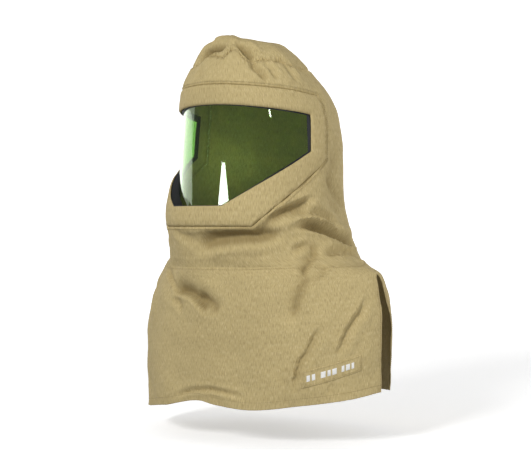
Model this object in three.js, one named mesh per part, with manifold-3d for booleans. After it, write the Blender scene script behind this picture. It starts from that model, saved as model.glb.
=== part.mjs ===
// An arc flash hood as it is worn: a cloth hood with a curved green face shield, and a bib that hangs
// over the chest, shoulders and back. Millimetres, +Z up. The wearer faces -Y, so the wearer's left is +X.
// The origin is the head seat, the point of the crown's inner side that rests on the wearer's head.

import * as THREE from "three";
import { mergeVertices } from "three/addons/utils/BufferGeometryUtils.js";
import Module from "manifold-3d";

// Driving sizes of the cloth
const HEAD_DROP = 352; // crown to neck seam
const HEAD_WIDTH = 264; // across the head at the ears
const HEAD_DEPTH = 320; // brow to back of the head
const BIB_DROP = 262; // neck seam to the lowest point of the front hem
const BIB_WIDTH = 460; // across the hem
const BIB_DEPTH = 334; // chest to back at the hem
const BIB_SET_BACK = 20;
const WALL = 2.5; // layered cloth
const SEAM_GAP = 0.3; // between two sewn pieces
const NECK_SEAM_DIP = 16; // how much lower the neck seam lies in front than behind

// The window in the cloth. Angles are turned from straight ahead.
const WINDOW_TOP = 110; // crown to the window's top edge
const WINDOW_TOP_DROP = 13; // how much lower that edge is at the sides
const WINDOW_HEIGHT = 159;
const WINDOW_SIDE_HEIGHT = 59;
const WINDOW_REACH_DEG = 80;
const WINDOW_SILL_DEG = 22;
const FACING_WIDTH = 33; // the sewn band round the window

// The shield behind the window and the black gasket that carries it
const SHIELD_THICKNESS = 2;
const SHIELD_INSET_TOP = 6; // from the cloth's outer side to the shield's, at the brow
const SHIELD_INSET_BOTTOM = 20;
const SHIELD_OVERLAP = 9; // how far the shield runs on behind the facing
const GASKET_WIDTH = 9;
const GASKET_LIP = 0.9; // how far the gasket shows past the cloth's edge

// The slits that the arms come out of
const SLIT_BELOW_NECK = 20; // neck seam to the top of the slit
const SLIT_FRONT = 20; // where the front panel's side edge hangs, in Y
const SLIT_TOP_WIDTH = 14;
const SLIT_FOOT_WIDTH = 108;

// The sewn label on the front bib
const LABEL_WIDTH = 95;
const LABEL_HEIGHT = 27;
const LABEL_THICKNESS = 1;
const LABEL_DEG = 59; // the label's middle
const LABEL_RISE_DEG = 9; // its slope along the cloth
const LABEL_ABOVE_HEM = 48; // its middle above the hem

const CLOTH = { color: 0xb8a878, roughness: 0.9, metalness: 0 };
const BLACK_RUBBER = { color: 0x15171a, roughness: 0.6, metalness: 0 };
const GREEN_LENS = { color: 0x2f5a34, roughness: 0.08, metalness: 0, transparent: true, opacity: 0.55 };

// The cloth's level sections from the crown down. level: share of HEAD_DROP. side: share of half HEAD_WIDTH.
// front and back: shares of half HEAD_DEPTH. square: the section's exponent, 2 for an ellipse.
const HEAD_SECTIONS = [
  { level: 0.0, side: 0.0, front: 0.2, back: -0.2, square: 2 },
  { level: 0.006, side: 0.27, front: 0.54, back: 0.06, square: 2 },
  { level: 0.025, side: 0.45, front: 0.685, back: 0.24, square: 2 },
  { level: 0.065, side: 0.58, front: 0.745, back: 0.395, square: 2 },
  { level: 0.115, side: 0.67, front: 0.8, back: 0.53, square: 2 },
  { level: 0.165, side: 0.755, front: 0.845, back: 0.655, square: 2 },
  { level: 0.222, side: 0.84, front: 0.89, back: 0.785, square: 2 },
  { level: 0.28, side: 0.895, front: 0.892, back: 0.885, square: 2 },
  { level: 0.335, side: 0.93, front: 0.885, back: 0.93, square: 2 },
  { level: 0.403, side: 0.955, front: 0.9, back: 0.95, square: 2 },
  { level: 0.5, side: 0.968, front: 0.942, back: 0.97, square: 2 },
  { level: 0.619, side: 0.986, front: 0.995, back: 0.98, square: 2 },
  { level: 0.696, side: 1.0, front: 1.03, back: 0.985, square: 2 },
  { level: 0.773, side: 1.023, front: 1.065, back: 1.008, square: 2 },
  { level: 0.858, side: 1.065, front: 1.06, back: 1.07, square: 1.95 },
  { level: 0.929, side: 1.125, front: 1.01, back: 1.125, square: 1.85 },
  { level: 1.0, side: 1.24, front: 0.975, back: 1.17, square: 1.7 },
];
// The same below the neck seam, as shares of BIB_DROP, half BIB_WIDTH and half BIB_DEPTH. The bib hangs
// over the shoulders, whose middle is BIB_SET_BACK behind the head's.
const BIB_SECTIONS = [
  { level: 0.04, side: 0.82, front: 1.04, back: 0.985, square: 1.5 },
  { level: 0.09, side: 0.9, front: 1.035, back: 1.0, square: 1.42 },
  { level: 0.18, side: 0.95, front: 1.02, back: 1.005, square: 1.55 },
  { level: 0.3, side: 0.975, front: 1.01, back: 1.005, square: 1.7 },
  { level: 0.45, side: 0.995, front: 1.005, back: 1.0, square: 1.75 },
  { level: 0.63, side: 1.0, front: 1.0, back: 1.0, square: 1.8 },
  { level: 0.8125, side: 1.0, front: 1.0, back: 1.0, square: 1.8 },
  { level: 1.0, side: 1.0, front: 1.0, back: 1.0, square: 1.8 },
];

// Folds and dents of the worn cloth. path: [degrees, level], where 0 to 1 is the head and 1 to 2 the bib.
// width and depth: shares of HEAD_WIDTH. A depth below zero is a valley.
const FOLDS = [
  { name: "under_facing", width: 0.055, depth: -0.04, path: [[2, 0.985], [30, 0.957], [58, 0.935]] },
  { name: "cheek_hollow", width: 0.06, depth: -0.03, path: [[38, 0.905], [60, 0.83], [76, 0.77]] },
  { name: "jaw_valley", width: 0.05, depth: -0.04, path: [[56, 0.912], [84, 0.922], [122, 0.93]] },
  { name: "nape_valley", width: 0.06, depth: -0.028, path: [[107, 0.58], [112, 0.7], [110, 0.82]] },
  { name: "collar_pinch", width: 0.045, depth: -0.026, path: [[58, 1.0], [80, 1.03], [122, 0.995]] },
  { name: "shoulder_sweep", width: 0.055, depth: -0.028, path: [[74, 1.07], [56, 1.2], [47, 1.37], [44, 1.5]] },
  { name: "arm_crease", width: 0.045, depth: -0.022, path: [[82, 1.34], [73, 1.5], [64, 1.71]] },
  { name: "chest_crease", width: 0.045, depth: -0.02, path: [[60, 1.5], [48, 1.75], [42, 1.93]] },
  { name: "chest_dimple", width: 0.075, depth: -0.04, path: [[-24, 1.23], [-6, 1.3], [6, 1.38], [9, 1.45]] },
  { name: "hem_ridge", width: 0.05, depth: 0.03, path: [[-22, 1.93], [-6, 1.87], [9, 1.87], [26, 1.93]] },
  { name: "crown_tuck", width: 0.05, depth: -0.035, path: [[-62, 0.07], [-35, 0.055], [-8, 0.05]] },
  { name: "crown_pleat", width: 0.045, depth: -0.025, path: [[16, 0.04], [32, 0.09], [46, 0.19]] },
  { name: "crown_peak", width: 0.1, depth: 0.045, path: [[-26, 0.035], [-4, 0.035]] },
  { name: "back_drape_left", width: 0.09, depth: -0.03, path: [[150, 1.05], [146, 1.5], [144, 1.98]] },
  { name: "back_drape_middle", width: 0.08, depth: -0.025, path: [[184, 0.98], [182, 1.4], [183, 1.98]] },
  { name: "back_drape_right", width: 0.09, depth: -0.03, path: [[212, 1.05], [215, 1.5], [217, 1.98]] },
];

// How far the hem hangs above its lowest point, which is at the wearer's right, as shares of BIB_DROP.
const HEM_RISES = [
  { deg: -90, rise: 0 },
  { deg: -60, rise: 0.023 },
  { deg: -25, rise: 0.088 },
  { deg: -4, rise: 0.145 },
  { deg: 10, rise: 0.126 },
  { deg: 25, rise: 0.11 },
  { deg: 45, rise: 0.141 },
  { deg: 65, rise: 0.172 },
  { deg: 90, rise: 0.202 },
  { deg: 130, rise: 0.164 },
  { deg: 180, rise: 0.1 },
  { deg: 230, rise: 0.03 },
];

const CROWN_SEAM = { level: 0.122, peakLevel: 0.083, peakDeg: -4, peakSpreadDeg: 24 };

// How finely the cloth is divided
const AROUND = 48;
const ROW_STEP = 0.75; // rows of the grid for each row of the tables above
const WINDOW_STEP_DEG = 7;
const FINEST = 0.12; // cuts leave no detail smaller than this

const radians = THREE.MathUtils.degToRad;
const smooth = (x) => THREE.MathUtils.smoothstep(x, 0, 1);

// One table of sections in millimetres, from the crown to the hem. v is the level: 0 to 1 head, 1 to 2 bib.
const SECTIONS = [
  ...HEAD_SECTIONS.map((row) => ({
    v: row.level,
    side: (row.side * HEAD_WIDTH) / 2,
    front: (row.front * HEAD_DEPTH) / 2,
    back: (row.back * HEAD_DEPTH) / 2,
    square: row.square,
  })),
  ...BIB_SECTIONS.map((row) => ({
    v: 1 + row.level,
    side: (row.side * BIB_WIDTH) / 2,
    front: (row.front * BIB_DEPTH) / 2 - BIB_SET_BACK,
    back: (row.back * BIB_DEPTH) / 2 + BIB_SET_BACK,
    square: row.square,
  })),
];

// A smooth value between the table's rows. The rows are the knots, so the dome's steep first rows stay round.
function between(column, t) {
  const last = SECTIONS.length - 1;
  const i = Math.min(Math.floor(t), last - 1);
  const near = [i - 1, i, i + 1, i + 2].map((k) => SECTIONS[THREE.MathUtils.clamp(k, 0, last)][column]);
  return curve(near, t - i);
}

// The knot value at a level, found by halving.
function knotOf(v) {
  let low = 0;
  let high = SECTIONS.length - 1;
  for (let i = 0; i < 40; i++) {
    const middle = (low + high) / 2;
    if (between("v", middle) < v) low = middle;
    else high = middle;
  }
  return (low + high) / 2;
}

const dropOf = (v) => (v <= 1 ? v * HEAD_DROP : HEAD_DROP + (v - 1) * BIB_DROP);
const levelOf = (drop) => (drop <= HEAD_DROP ? drop / HEAD_DROP : 1 + (drop - HEAD_DROP) / BIB_DROP);
const turnBetween = (a, b) => ((((a - b + 180) % 360) + 360) % 360) - 180;

// A smooth curve through four neighbouring values, from the second to the third.
function curve([p0, p1, p2, p3], x) {
  const [slope1, slope2] = [(p2 - p0) / 2, (p3 - p1) / 2];
  return (
    (2 * x ** 3 - 3 * x ** 2 + 1) * p1 +
    (x ** 3 - 2 * x ** 2 + x) * slope1 +
    (3 * x ** 2 - 2 * x ** 3) * p2 +
    (x ** 3 - x ** 2) * slope2
  );
}

// How much the cloth is drawn up at an angle: nothing at the neck, most at the hem.
function hemLift(deg, v) {
  if (v <= 1) return 0;
  const count = HEM_RISES.length;
  const from = (k) => (HEM_RISES[(k + count) % count].deg - HEM_RISES[0].deg + 360) % 360;
  const turn = (((deg - HEM_RISES[0].deg) % 360) + 360) % 360;
  const k = HEM_RISES.findLastIndex((_, i) => from(i) <= turn);
  const next = k + 1 < count ? from(k + 1) : 360;
  const near = [k - 1, k, k + 1, k + 2].map((i) => HEM_RISES[(i + count) % count].rise);
  const rise = BIB_DROP * curve(near, (turn - from(k)) / (next - from(k)));
  return rise * (0.35 * smooth((v - 1) / 0.2) + 0.65 * smooth(v - 1));
}

// The unfolded cloth's outer side at an angle and a knot.
function plainPoint(deg, t) {
  const side = between("side", t);
  const front = between("front", t);
  const back = between("back", t);
  const power = 2 / between("square", t);
  const bent = (x) => Math.sign(x) * Math.abs(x) ** power;
  const v = between("v", t);
  return new THREE.Vector3(
    side * bent(Math.sin(radians(deg))),
    (back - front) / 2 - ((back + front) / 2) * bent(Math.cos(radians(deg))),
    WALL - dropOf(v) + hemLift(deg, v),
  );
}

function normalOf(pointAt, deg, t) {
  const last = SECTIONS.length - 1;
  const around = pointAt(deg + 1, t).sub(pointAt(deg - 1, t));
  const down = pointAt(deg, Math.min(t + 0.05, last)).sub(pointAt(deg, Math.max(t - 0.05, 0.01)));
  return down.cross(around).normalize();
}

// How far a fold pushes the cloth out at an angle and a level, in millimetres.
function foldAt(fold, deg, v, reach) {
  const [x, y] = [0, dropOf(v)];
  const spots = fold.path.map(([d, level]) => [radians(turnBetween(d, deg)) * reach, dropOf(level)]);
  const lengths = spots.slice(1).map((p, i) => Math.hypot(p[0] - spots[i][0], p[1] - spots[i][1]));
  const whole = lengths.reduce((sum, l) => sum + l, 0);
  let [nearest, share, gone] = [Infinity, 0, 0];
  lengths.forEach((length, i) => {
    const [[ax, ay], [bx, by]] = [spots[i], spots[i + 1]];
    const along = ((x - ax) * (bx - ax) + (y - ay) * (by - ay)) / length ** 2;
    const part = THREE.MathUtils.clamp(along, 0, 1);
    const distance = Math.hypot(x - ax - part * (bx - ax), y - ay - part * (by - ay));
    if (distance < nearest) [nearest, share] = [distance, (gone + part * length) / whole];
    gone += length;
  });
  const taper = smooth(share / 0.3 + 0.15) * smooth((1 - share) / 0.3 + 0.15);
  return fold.depth * HEAD_WIDTH * taper * Math.exp(-((nearest / (fold.width * HEAD_WIDTH)) ** 2));
}

// The facing lies flat against the shield, so folds fade out over it.
function facingCalm(deg, drop) {
  const turn = Math.abs(turnBetween(deg, 0));
  const { top, bottom, reach } = outline(FACING_WIDTH);
  const edge = Math.min(turn, reach);
  const outside = Math.max(top(edge) - drop, drop - bottom(edge), radians(turn - reach) * (HEAD_WIDTH / 2));
  return smooth(outside / (FACING_WIDTH / 2));
}

function foldedPoint(deg, t) {
  const v = between("v", t);
  const reach = (between("side", t) + (between("front", t) + between("back", t)) / 2) / 2;
  const push = FOLDS.reduce((sum, fold) => sum + foldAt(fold, deg, v, Math.max(reach, 1)), 0);
  const calm = facingCalm(deg, dropOf(v));
  return plainPoint(deg, t).addScaledVector(normalOf(plainPoint, deg, t), push * calm);
}

// The cloth's outer side moved in by a depth, at an angle and a knot.
function pointIn(deg, t, depth) {
  return foldedPoint(deg, t).addScaledVector(normalOf(foldedPoint, deg, t), -depth);
}

// The same at an angle and a drop below the crown.
function clothPoint(deg, drop, depth) {
  return pointIn(deg, knotOf(levelOf(drop)), depth);
}

// The window's outline, grown by a margin: its top and bottom drops at an angle, and how far round it reaches.
function outline(margin) {
  const sideTurn = THREE.MathUtils.radToDeg(margin / (HEAD_WIDTH / 2));
  const reach = WINDOW_REACH_DEG + sideTurn;
  const sill = WINDOW_SILL_DEG + 1.2 * sideTurn;
  const browDrop = (turn) => (WINDOW_TOP_DROP * (1 - Math.cos(radians(turn)))) / (1 - Math.cos(radians(reach)));
  const top = (turn) => WINDOW_TOP - margin + browDrop(turn);
  const lowest = WINDOW_TOP + WINDOW_HEIGHT + margin;
  const sideFoot = WINDOW_TOP + WINDOW_TOP_DROP + WINDOW_SIDE_HEIGHT + 0.35 * margin;
  const bottom = (turn) =>
    turn <= sill ? lowest : lowest + ((sideFoot - lowest) * (turn - sill)) / (reach - sill);
  return { top, bottom, reach, sill };
}

const wasm = await Module();
wasm.setup();

// A closed solid from points and faces. Faces may have three or four corners and point out.
function solid(points, faces) {
  const triangles = faces.flatMap((f) => (f.length === 3 ? [f] : [[f[0], f[1], f[2]], [f[0], f[2], f[3]]]));
  const made = new wasm.Manifold(
    new wasm.Mesh({
      numProp: 3,
      vertProperties: new Float32Array(points.flatMap((p) => p.toArray())),
      triVerts: new Uint32Array(triangles.flat()),
    }),
  );
  return made;
}

// A solid between two sheets of the same columns and rows, closed round its edges.
function slab(outer, inner) {
  const columns = outer.length;
  const rows = outer[0].length;
  const half = columns * rows;
  const at = (c, r, sheet) => sheet * half + c * rows + r;
  const faces = [];
  for (let c = 0; c < columns - 1; c++) {
    for (let r = 0; r < rows - 1; r++) {
      faces.push([at(c, r, 0), at(c, r + 1, 0), at(c + 1, r + 1, 0), at(c + 1, r, 0)]);
      faces.push([at(c, r, 1), at(c + 1, r, 1), at(c + 1, r + 1, 1), at(c, r + 1, 1)]);
    }
    faces.push([at(c, 0, 0), at(c + 1, 0, 0), at(c + 1, 0, 1), at(c, 0, 1)]);
    faces.push([at(c, rows - 1, 0), at(c, rows - 1, 1), at(c + 1, rows - 1, 1), at(c + 1, rows - 1, 0)]);
  }
  for (let r = 0; r < rows - 1; r++) {
    faces.push([at(0, r, 0), at(0, r, 1), at(0, r + 1, 1), at(0, r + 1, 0)]);
    faces.push([at(columns - 1, r, 0), at(columns - 1, r + 1, 0), at(columns - 1, r + 1, 1), at(columns - 1, r, 1)]);
  }
  return solid([...outer.flat(), ...inner.flat()], faces);
}

// The same face seen from its other side, with the same diagonal.
const turned = ([first, ...others]) => [first, ...others.reverse()];

// The whole cloth, crown to hem, as one hollow wall.
function clothShell() {
  const last = SECTIONS.length - 1;
  const rows = Math.round(last / ROW_STEP);
  const knots = [0.4, ...Array.from({ length: rows }, (_, i) => ((i + 1) * last) / rows)];
  const points = [];
  const faces = [];
  for (const inside of [0, 1]) {
    const start = points.length;
    const depth = inside * WALL;
    points.push(clothPoint(0, 0, 0).setZ(WALL - depth));
    for (const knot of knots)
      for (let k = 0; k < AROUND; k++) points.push(pointIn((k * 360) / AROUND, knot, depth));
    const at = (row, k) => start + 1 + row * AROUND + (k % AROUND);
    for (let k = 0; k < AROUND; k++) {
      const cap = [start, at(0, k), at(0, k + 1)];
      faces.push(inside ? turned(cap) : cap);
      for (let row = 0; row < knots.length - 1; row++) {
        const face = [at(row, k), at(row + 1, k), at(row + 1, k + 1), at(row, k + 1)];
        faces.push(inside ? turned(face) : face);
      }
    }
  }
  const half = points.length / 2;
  const lastRow = half - AROUND;
  for (let k = 0; k < AROUND; k++) {
    const next = (k + 1) % AROUND;
    faces.push([lastRow + k, half + lastRow + k, half + lastRow + next, lastRow + next]);
  }
  return solid(points, faces);
}

// A block that fills the window's outline, grown by a margin, from well inside the cloth to well outside it.
function windowBlock(margin) {
  const { top, bottom, reach, sill } = outline(margin);
  const steps = Math.ceil((reach - sill) / WINDOW_STEP_DEG);
  const turns = Array.from({ length: steps + 1 }, (_, i) => sill + ((reach - sill) * i) / steps);
  const middle = Array.from({ length: 9 }, (_, i) => -sill + (sill * 2 * i) / 8).slice(1, -1);
  const degrees = [...turns.map((turn) => -turn).reverse(), ...middle, ...turns];
  const sheet = (depth) =>
    degrees.map((deg) => {
      const [high, low] = [top(Math.abs(deg)), bottom(Math.abs(deg))];
      return [0, 0.5, 1].map((share) => clothPoint(deg, high + (low - high) * share, depth));
    });
  return slab(sheet(-30), sheet(45));
}

// A sheet that follows the cloth round the window, between two depths that change from its brow to its chin.
function frontSlab(outerDepth, innerDepth) {
  const { top, bottom } = outline(SHIELD_OVERLAP + GASKET_WIDTH);
  const [high, low, ends] = [top(0), bottom(0), 90];
  const columns = AROUND / 2; // the same columns as the cloth, so the layers lie evenly
  const rows = 8;
  const sheet = (depthAt) =>
    Array.from({ length: columns + 1 }, (_, c) =>
      Array.from({ length: rows + 1 }, (_, r) => {
        const drop = high + ((low - high) * r) / rows;
        return clothPoint(-ends + (2 * ends * c) / columns, drop, depthAt(drop));
      }),
    );
  return slab(sheet(outerDepth), sheet(innerDepth));
}

// The shield's outer side, measured in from the cloth's outer side.
function shieldInset(drop) {
  const share = THREE.MathUtils.clamp((drop - WINDOW_TOP) / WINDOW_HEIGHT, 0, 1.1) ** 2.6;
  return SHIELD_INSET_TOP + (SHIELD_INSET_BOTTOM - SHIELD_INSET_TOP) * share;
}

const crownSeamLevel = (deg) => {
  const near = Math.exp(-((turnBetween(deg, CROWN_SEAM.peakDeg) / CROWN_SEAM.peakSpreadDeg) ** 2));
  return CROWN_SEAM.level + (CROWN_SEAM.peakLevel - CROWN_SEAM.level) * near;
};

const neckSeamLevel = (deg) => 1 + ((NECK_SEAM_DIP / BIB_DROP) * (1 + Math.cos(radians(deg)))) / 2;

// Everything above a seam that runs round the hood.
function aboveSeam(levelAt, shift) {
  const high = 2 * HEAD_DROP;
  const ring = Array.from({ length: AROUND }, (_, k) => {
    const deg = (k * 360) / AROUND;
    return clothPoint(deg, dropOf(levelAt(deg)), 0);
  });
  const middle = ring.reduce((sum, p) => sum.add(p), new THREE.Vector3()).divideScalar(AROUND);
  const wide = ring.map((p) => p.clone().sub(middle).multiply(new THREE.Vector3(1.6, 1.6, 1)).add(middle));
  const up = new THREE.Vector3(0, 0, high);
  const shifted = (p) => p.clone().add(new THREE.Vector3(0, 0, shift));
  const points = [
    shifted(middle),
    ...ring.map(shifted),
    ...wide.map(shifted),
    middle.clone().add(up),
    ...wide.map((p) => p.clone().setZ(middle.z).add(up)),
  ];
  const faces = [];
  const [inner, outer, roof] = [1, 1 + AROUND, 2 + 2 * AROUND];
  for (let k = 0; k < AROUND; k++) {
    const next = (k + 1) % AROUND;
    faces.push([0, inner + next, inner + k]);
    faces.push([inner + k, inner + next, outer + next, outer + k]);
    faces.push([outer + k, outer + next, roof + next, roof + k]);
    faces.push([roof - 1, roof + k, roof + next]);
  }
  return solid(points, faces);
}

// A straight block from flat corner points [y, z], run along X between two ends.
function sidewaysBlock(corners, from, to) {
  const shape = new THREE.Shape(corners.map(([y, z]) => new THREE.Vector2(y, z)));
  const geometry = new THREE.ExtrudeGeometry(shape, { depth: to - from, bevelEnabled: false, curveSegments: 8 });
  geometry.applyMatrix4(
    new THREE.Matrix4().makeBasis(
      new THREE.Vector3(0, 1, 0),
      new THREE.Vector3(0, 0, 1),
      new THREE.Vector3(1, 0, 0),
    ),
  );
  geometry.translate(from, 0, 0);
  geometry.deleteAttribute("normal");
  geometry.deleteAttribute("uv");
  const merged = mergeVertices(geometry);
  const triVerts = new Uint32Array(merged.index.array);
  return new wasm.Manifold(new wasm.Mesh({ numProp: 3, vertProperties: merged.attributes.position.array, triVerts }));
}

// The space that an arm leaves through, on one side.
function armSlit(side) {
  const foot = -(HEAD_DROP + BIB_DROP) * 1.1;
  const top = -HEAD_DROP - SLIT_BELOW_NECK;
  const middle = SLIT_FRONT + SLIT_TOP_WIDTH / 2;
  const corners = [
    [SLIT_FRONT, foot],
    [SLIT_FRONT + SLIT_FOOT_WIDTH, foot],
    [SLIT_FRONT + SLIT_TOP_WIDTH, top - SLIT_TOP_WIDTH / 2],
    [middle, top],
    [SLIT_FRONT, top - SLIT_TOP_WIDTH / 2],
  ];
  const [near, far] = [HEAD_WIDTH / 4, BIB_WIDTH];
  return side > 0 ? sidewaysBlock(corners, near, far) : sidewaysBlock(corners, -far, -near);
}

// All that lies in front of the shoulder seam, or behind it.
function halfBlock(isFront) {
  const seam = SLIT_FRONT + SLIT_TOP_WIDTH / 2;
  const [low, high] = [-2 * (HEAD_DROP + BIB_DROP), HEAD_DROP];
  const [from, to] = isFront ? [-BIB_DEPTH * 2, seam - SEAM_GAP / 2] : [seam + SEAM_GAP / 2, BIB_DEPTH * 2];
  return sidewaysBlock([[from, low], [to, low], [to, high], [from, high]], -BIB_WIDTH, BIB_WIDTH);
}

// The label, laid on the outer side of the bib near the front hem's left corner.
function labelOn(cloth) {
  const whole = HEAD_DROP + BIB_DROP;
  const hem = clothPoint(LABEL_DEG, whole, 0);
  const perDrop = hem.distanceTo(clothPoint(LABEL_DEG, whole - LABEL_ABOVE_HEM, 0)) / LABEL_ABOVE_HEM;
  const middle = whole - LABEL_ABOVE_HEM / perDrop;
  const t = knotOf(levelOf(middle));
  const perDegree = foldedPoint(LABEL_DEG + 1, t).distanceTo(foldedPoint(LABEL_DEG, t));
  const slope = Math.tan(radians(LABEL_RISE_DEG));
  const columns = 8;
  const rows = 3;
  const sheet = (depth) =>
    Array.from({ length: columns + 1 }, (_, c) =>
      Array.from({ length: rows + 1 }, (_, r) => {
        const along = LABEL_WIDTH * (c / columns - 0.5);
        const down = LABEL_HEIGHT * (r / rows - 0.5) - along * slope;
        return clothPoint(LABEL_DEG + along / perDegree, middle + down / perDrop, depth);
      }),
    );
  const block = slab(sheet(-10), sheet(10));
  const normal = normalOf(foldedPoint, LABEL_DEG, t);
  const clothLiftedBy = (height) => cloth.translate(normal.clone().multiplyScalar(height).toArray());
  return block.intersect(clothLiftedBy(SEAM_GAP + LABEL_THICKNESS)).subtract(clothLiftedBy(SEAM_GAP));
}

const shell = clothShell();
const crownBlock = aboveSeam(crownSeamLevel, SEAM_GAP / 2);
const belowCrown = aboveSeam(crownSeamLevel, -SEAM_GAP / 2);
const neckBlock = aboveSeam(neckSeamLevel, SEAM_GAP / 2);
const belowNeck = aboveSeam(neckSeamLevel, -SEAM_GAP / 2);
const slits = armSlit(1).add(armSlit(-1));
const shieldBlock = windowBlock(SHIELD_OVERLAP);
const bib = shell.subtract(belowNeck).subtract(slits);
const gasketLayer = frontSlab(
  () => WALL + 2 * SEAM_GAP,
  (drop) => shieldInset(drop) - SEAM_GAP,
);
const shieldLayer = frontSlab(shieldInset, (drop) => shieldInset(drop) + SHIELD_THICKNESS);

const PIECES = [
  { name: "crown_panel", solid: shell.intersect(crownBlock), look: CLOTH },
  {
    name: "hood_body",
    solid: shell.subtract(belowCrown).intersect(neckBlock).subtract(windowBlock(FACING_WIDTH + SEAM_GAP)),
    look: CLOTH,
  },
  {
    name: "window_facing",
    solid: shell.intersect(windowBlock(FACING_WIDTH)).subtract(windowBlock(0)),
    look: CLOTH,
  },
  {
    name: "window_gasket",
    solid: gasketLayer.intersect(windowBlock(GASKET_WIDTH)).subtract(windowBlock(-GASKET_LIP)),
    look: BLACK_RUBBER,
  },
  { name: "face_shield", solid: shieldLayer.intersect(shieldBlock), look: GREEN_LENS },
  { name: "bib_front", solid: bib.intersect(halfBlock(true)), look: CLOTH },
  { name: "bib_back", solid: bib.intersect(halfBlock(false)), look: CLOTH },
  { name: "sewn_label", solid: labelOn(bib), look: CLOTH },
];

function meshOf({ name, solid: body, look }) {
  const { numProp, vertProperties, triVerts, numVert } = body.asOriginal().simplify(FINEST).getMesh();
  const positions = new Float32Array(numVert * 3);
  for (let i = 0; i < numVert; i++)
    positions.set(vertProperties.subarray(i * numProp, i * numProp + 3), i * 3);
  const geometry = new THREE.BufferGeometry();
  geometry.setAttribute("position", new THREE.BufferAttribute(positions, 3));
  geometry.setIndex(new THREE.BufferAttribute(triVerts, 1));
  geometry.computeVertexNormals();
  const mesh = new THREE.Mesh(geometry, new THREE.MeshStandardMaterial(look));
  mesh.name = name;
  return mesh;
}

const hood = new THREE.Group();
hood.add(...PIECES.map(meshOf));

export default hood;
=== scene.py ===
"""An arc flash hood as it is worn: a tan cloth hood with a curved green face shield in a sewn window, and a
bib that hangs over the chest and back. The wearer faces -Y, so the wearer's left is +X. Metres, +Z up."""

import math

import bpy
import numpy as np
from bpy.props import FloatProperty, FloatVectorProperty, IntProperty, PointerProperty
from bpy.types import Operator, Panel, PropertyGroup
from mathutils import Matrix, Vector


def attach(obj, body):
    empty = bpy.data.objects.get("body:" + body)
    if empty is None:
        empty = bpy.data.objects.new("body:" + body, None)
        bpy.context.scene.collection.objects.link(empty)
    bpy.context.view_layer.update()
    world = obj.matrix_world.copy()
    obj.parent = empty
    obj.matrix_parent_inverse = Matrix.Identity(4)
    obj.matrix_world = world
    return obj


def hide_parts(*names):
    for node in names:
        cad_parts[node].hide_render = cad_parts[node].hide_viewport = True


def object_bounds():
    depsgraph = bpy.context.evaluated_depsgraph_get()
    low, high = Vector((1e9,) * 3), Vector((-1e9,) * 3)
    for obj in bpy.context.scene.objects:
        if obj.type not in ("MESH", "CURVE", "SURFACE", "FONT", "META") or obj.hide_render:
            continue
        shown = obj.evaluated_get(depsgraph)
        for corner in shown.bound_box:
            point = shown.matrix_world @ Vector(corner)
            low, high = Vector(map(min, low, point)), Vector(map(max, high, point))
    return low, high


bl_info = {
    "name": "Arc Flash Hood",
    "version": (1, 0, 0),
    "blender": (4, 5, 0),
    "location": "View3D > Sidebar > Hood",
    "description": "Models a worn arc flash hood with its shield, bib and stitching",
    "category": "Add Mesh",
}

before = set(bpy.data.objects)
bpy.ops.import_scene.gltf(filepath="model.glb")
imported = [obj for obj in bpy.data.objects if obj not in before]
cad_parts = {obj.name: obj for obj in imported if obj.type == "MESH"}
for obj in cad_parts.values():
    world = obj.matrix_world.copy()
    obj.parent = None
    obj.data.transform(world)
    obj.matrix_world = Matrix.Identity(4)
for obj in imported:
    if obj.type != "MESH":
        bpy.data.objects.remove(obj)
cad_low, cad_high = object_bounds()

MM = 0.001
# Farther than anything in the scene.
FAR = 1e9

# The lengths, in metres, that give the cloth's meshes their rows and columns.
CROWN_ACROSS = 0.19
CROWN_RUN = 0.11
HOOD_RADIUS = 0.14
BAND_RUNS = {"above": 0.045, "beside": 0.075, "below": 0.11}
BIB_RUNS = {"front": 0.62, "back": 0.52}
# How many points the window's rings have along the top, each end, each slope and the sill.
RING_COUNTS = (120, 24, 56, 36)
STITCH_RING_COUNTS = (160, 30, 70, 50)
OUTLINE_COUNTS = (40, 2, 4, 2)
# The radius that turns degrees round the hood into metres on the flat cloth.
CUT_RADIUS = 0.15
# The gap between two pieces that touch.
GAP = 0.0003
# Beside the window the folds fade out over this distance, down to this share.
CALM_REACH = 0.016
CALM_SHARE = 0.12
# A fold this deep gets the full painted shade.
FULL_SHADE = 0.012

# The cloth's level sections from the crown down: level as a share of the head's drop, then the half width,
# the front and the back as shares of half the head's width and depth, and the section's exponent.
HEAD_SECTIONS = [
    (0.0, 0.0, 0.2, -0.2, 2.0),
    (0.006, 0.27, 0.54, 0.06, 2.0),
    (0.025, 0.45, 0.685, 0.24, 2.0),
    (0.065, 0.58, 0.745, 0.395, 2.0),
    (0.115, 0.67, 0.8, 0.53, 2.0),
    (0.165, 0.755, 0.845, 0.655, 2.0),
    (0.222, 0.84, 0.89, 0.785, 2.0),
    (0.28, 0.895, 0.892, 0.885, 2.0),
    (0.335, 0.93, 0.885, 0.93, 2.0),
    (0.403, 0.955, 0.9, 0.95, 2.0),
    (0.5, 0.968, 0.942, 0.97, 2.0),
    (0.619, 0.986, 0.995, 0.98, 2.0),
    (0.696, 1.0, 1.03, 0.985, 2.0),
    (0.773, 1.023, 1.065, 1.008, 2.0),
    (0.858, 1.065, 1.06, 1.07, 1.95),
    (0.929, 1.125, 1.01, 1.125, 1.85),
    (1.0, 1.24, 0.975, 1.17, 1.7),
]
# The same below the neck seam, as shares of the bib's drop, width and depth.
BIB_SECTIONS = [
    (0.04, 0.82, 1.04, 0.985, 1.5),
    (0.09, 0.9, 1.035, 1.0, 1.42),
    (0.18, 0.95, 1.02, 1.005, 1.55),
    (0.3, 0.975, 1.01, 1.005, 1.7),
    (0.45, 0.995, 1.005, 1.0, 1.75),
    (0.63, 1.0, 1.0, 1.0, 1.8),
    (0.8125, 1.0, 1.0, 1.0, 1.8),
    (1.0, 1.0, 1.0, 1.0, 1.8),
]
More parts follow.
